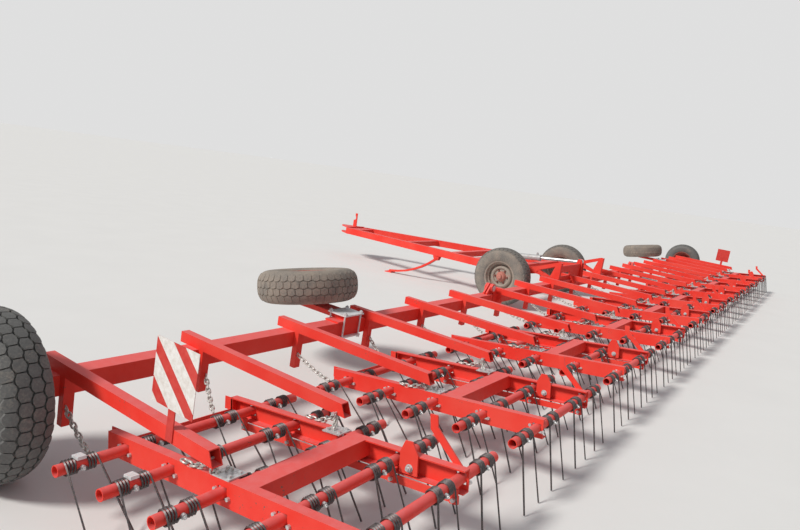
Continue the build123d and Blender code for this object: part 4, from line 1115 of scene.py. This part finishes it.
def rail_bolts(settings):
    """Bolt heads on each pipe beside the rails and on the linkage's strip under it, and the bolts
    and nut of the lock plate, for one section."""
    parts = []
    half = settings.rail_half
    for row in range(settings.rows):
        back = settings.first_pipe + settings.pipe_pitch * row
        for side in (-1, 1):
            for behind, below in RAIL_BOLT_PLACES:
                base = (side * (half - 0.001), -back - behind, -settings.pipe_depth - below)
                parts.append(prism(base, (side, 0, 0), UP, *RAIL_BOLT))
        parts.append(prism((half - STRIP_INSET, -back, -STRIP_DEPTH), (-1, 0, 0), UP, *STRIP_BOLT))
    for back, depth in LOCK_BOLTS:
        parts.append(stacked((half + LOCK_PLATE, -back, -depth), ACROSS, UP, LOCK_BOLT))
    parts.append(stacked(LOCK_NUT_PLACE, (-1, 0, 0), UP, LOCK_NUT))
    return join(parts)


def front_bar():
    """Flat bar across a section's front between its rails, with the lug and the strip that hold it
    on each rail's flanges."""
    parts = [(box_points(*np.array(FRONT_BAR)), BOX_FACES)]
    for size, place in (FRONT_LUG, LUG_STRIP):
        for side in (-1, 1):
            parts.append((box_points(size, place * np.array([side, 1, 1])), BOX_FACES))
    return join(parts)


def saddle_clamp(side):
    """Plated clamp of a transport bracket: top plate, strap under the beam, four bolts and nuts."""
    middle = side * TRANSPORT_X
    parts = []
    for size, up in SADDLE_PLATES:
        parts.append((on_beam(box_points(size, np.array([middle, 0.0, up]))), BOX_FACES))
    out = np.array([0, -sin(BEAM_DROP), cos(BEAM_DROP)])
    for across, forward in SADDLE_BOLT_PLACES:
        foot = np.array([middle + across, *beam_point(forward, -BEAM_HALF - SADDLE_BOLT_FOOT)])
        parts.append(prism(foot, out, ACROSS, *SADDLE_ROD))
        nut = foot + out * (SADDLE_ROD[1] - SADDLE_NUT_BACK)
        parts.append(prism(nut, out, ACROSS, *SADDLE_NUT))
        parts.append(prism(foot, out, ACROSS, *SADDLE_HEAD))
    return join(parts)


class HARROW_OT_fasteners(bpy.types.Operator):
    """Bolts and front bars of the sections and the plated clamps of the transport brackets"""

    bl_idname = "harrow.fasteners"
    bl_label = "Make the Fasteners"

    def execute(self, context):
        settings = context.scene.harrow_tines
        ends = {SECTIONS[0]: -1, SECTIONS[-1]: 1}
        for name in SECTIONS:
            made = section_piece(name, "bolts", rail_bolts(settings), "zinc")
            made = section_piece(name, "front_bar", front_bar(), "paint")
            if name in ends:
                plates = end_plates(settings, ends[name])
                made = section_piece(name, "end_plates", plates, "pale_zinc")
        for side, sign in (("left", -1), ("right", 1)):
            body = body_of_node(side + "_transport_bracket")
            made = piece(side + "_saddle_clamp", saddle_clamp(sign), "pale_zinc", body)
        return {"FINISHED"}


# Warning boards

class HARROW_OT_boards(bpy.types.Operator):
    """Striped faces of the warning boards"""

    bl_idname = "harrow.boards"
    bl_label = "Finish the Warning Boards"

    def execute(self, context):
        for side in ("left", "right"):
            dress_node(side + "_warning_board", "stripes")
        return {"FINISHED"}


# Stage

CAMERA_PLACE = (-8.621, -2.761, 1.513)
CAMERA_YAW = 56.475
CAMERA_PITCH = 8.153
CAMERA_ROLL = 7.613
CAMERA_LENS = 28.553
CAMERA_SENSOR = 36.0
CAMERA_REACH = 2000.0
FLOOR_HALF = 400.0
FLOOR_MOTTLE = (0.78, 0.78, 0.77)
SKY_COLOUR = (0.93, 0.95, 1.0)
SUN_WAY = (0.70, -0.34, -0.66)
SUN_COLOUR = (1.0, 0.97, 0.92)
SUN_SPREAD = 12


def camera_turn():
    """Camera's rotation: look along the yaw and pitch, then roll about the view line."""
    yaw, pitch, roll = (radians(value) for value in (CAMERA_YAW, CAMERA_PITCH, CAMERA_ROLL))
    ahead = Vector((sin(yaw) * cos(pitch), cos(yaw) * cos(pitch), -sin(pitch)))
    level = Vector((cos(yaw), -sin(yaw), 0))
    above = level.cross(ahead)
    right = level * cos(roll) + above * sin(roll)
    up = above * cos(roll) - level * sin(roll)
    return Matrix((right, up, -ahead)).transposed()


def make_floor(settings):
    """Wide flat floor with a faintly mottled pale finish."""
    mesh = bpy.data.meshes.new("floor")
    half = FLOOR_HALF
    corners = [(-half, -half, 0), (half, -half, 0), (half, half, 0), (-half, half, 0)]
    mesh.from_pydata(corners, [], [(0, 1, 2, 3)])
    material, shader, place = finish_material("floor")
    grain = stretch(noise(place, 1.5), 0.3, 0.7)
    finish_shader(shader, blend_colours(grain, settings.floor, FLOOR_MOTTLE))
    shader.inputs["Roughness"].default_value = 0.95
    shader.inputs["Specular IOR Level"].default_value = 0.1
    mesh.materials.append(material)
    return bpy.data.objects.new("floor", mesh)


def make_sky(settings):
    """Soft light all round, and a plain backdrop where the camera, a mirror or glass looks."""
    world = bpy.data.worlds.new("soft_sky")
    world.use_nodes = True
    tree = world.node_tree
    tree.nodes.clear()
    light = add(tree, "ShaderNodeBackground", {"Color": SKY_COLOUR, "Strength": settings.sky})
    seen = add(tree, "ShaderNodeBackground", {"Color": settings.backdrop, "Strength": 1.0})
    rays = add(tree, "ShaderNodeLightPath").outputs
    mirrored = maths("MAXIMUM", rays["Is Glossy Ray"], rays["Is Transmission Ray"])
    shown = maths("MAXIMUM", rays["Is Camera Ray"], mirrored)
    inputs = {0: shown, 1: light.outputs[0], 2: seen.outputs[0]}
    mixed = add(tree, "ShaderNodeMixShader", inputs)
    add(tree, "ShaderNodeOutputWorld", {"Surface": mixed.outputs[0]})
    return world


def make_lamp(settings):
    """Low key light with a soft edge."""
    sun = bpy.data.lights.new("sun", "SUN")
    sun.energy = settings.sun
    sun.angle = radians(SUN_SPREAD)
    sun.color = SUN_COLOUR
    lamp = bpy.data.objects.new("sun", sun)
    lamp.rotation_euler = Vector(SUN_WAY).to_track_quat("-Z", "Y").to_euler()
    return lamp


def make_camera():
    """Camera at the photo's place and angle."""
    camera = bpy.data.cameras.new("camera")
    camera.lens = CAMERA_LENS
    camera.sensor_width = CAMERA_SENSOR
    camera.clip_end = CAMERA_REACH
    holder = bpy.data.objects.new("camera", camera)
    place = Vector(CAMERA_PLACE) + Vector((0, BEAM_Y, 0))
    holder.matrix_world = Matrix.Translation(place) @ camera_turn().to_4x4()
    return holder


class HARROW_OT_stage(bpy.types.Operator):
    """Pale floor, soft light and the camera"""

    bl_idname = "harrow.stage"
    bl_label = "Set the Stage"

    def execute(self, context):
        scene = context.scene
        settings = scene.harrow_stage
        scene.view_settings.view_transform = "Standard"
        floor = make_floor(settings)
        camera = make_camera()
        for made in (floor, make_lamp(settings), camera):
            scene.collection.objects.link(made)
        scene.world = make_sky(settings)
        scene.camera = camera
        return {"FINISHED"}


class HARROW_PT_panel(bpy.types.Panel):
    """Steps that dress the harrow, in order"""

    bl_label = "Harrow"
    bl_idname = "HARROW_PT_panel"
    bl_space_type = "VIEW_3D"
    bl_region_type = "UI"
    bl_category = "Harrow"

    def draw(self, context):
        for step in STEPS:
            self.layout.operator(step.bl_idname)


SETTINGS = {
    "harrow_tyres": TyreSettings,
    "harrow_wheels": WheelSettings,
    "harrow_tines": TineSettings,
    "harrow_chains": ChainSettings,
    "harrow_paint": PaintSettings,
    "harrow_stage": StageSettings,
}
STEPS = (
    HARROW_OT_steelwork,
    HARROW_OT_tyres,
    HARROW_OT_wheels,
    HARROW_OT_tines,
    HARROW_OT_chains,
    HARROW_OT_cylinder,
    HARROW_OT_fasteners,
    HARROW_OT_boards,
    HARROW_OT_stage,
)


def register():
    for name, settings in SETTINGS.items():
        bpy.utils.register_class(settings)
        setattr(bpy.types.Scene, name, bpy.props.PointerProperty(type=settings))
    for step in STEPS:
        bpy.utils.register_class(step)
    bpy.utils.register_class(HARROW_PT_panel)


def unregister():
    bpy.utils.unregister_class(HARROW_PT_panel)
    for step in reversed(STEPS):
        bpy.utils.unregister_class(step)
    for name, settings in SETTINGS.items():
        delattr(bpy.types.Scene, name)
        bpy.utils.unregister_class(settings)


def main():
    register()
    bpy.ops.harrow.steelwork()
    bpy.ops.harrow.tyres()
    bpy.ops.harrow.wheels()
    bpy.ops.harrow.tines()
    bpy.ops.harrow.chains()
    bpy.ops.harrow.cylinder()
    bpy.ops.harrow.fasteners()
    bpy.ops.harrow.boards()
    bpy.ops.harrow.stage()


if __name__ == "__main__":
    main()
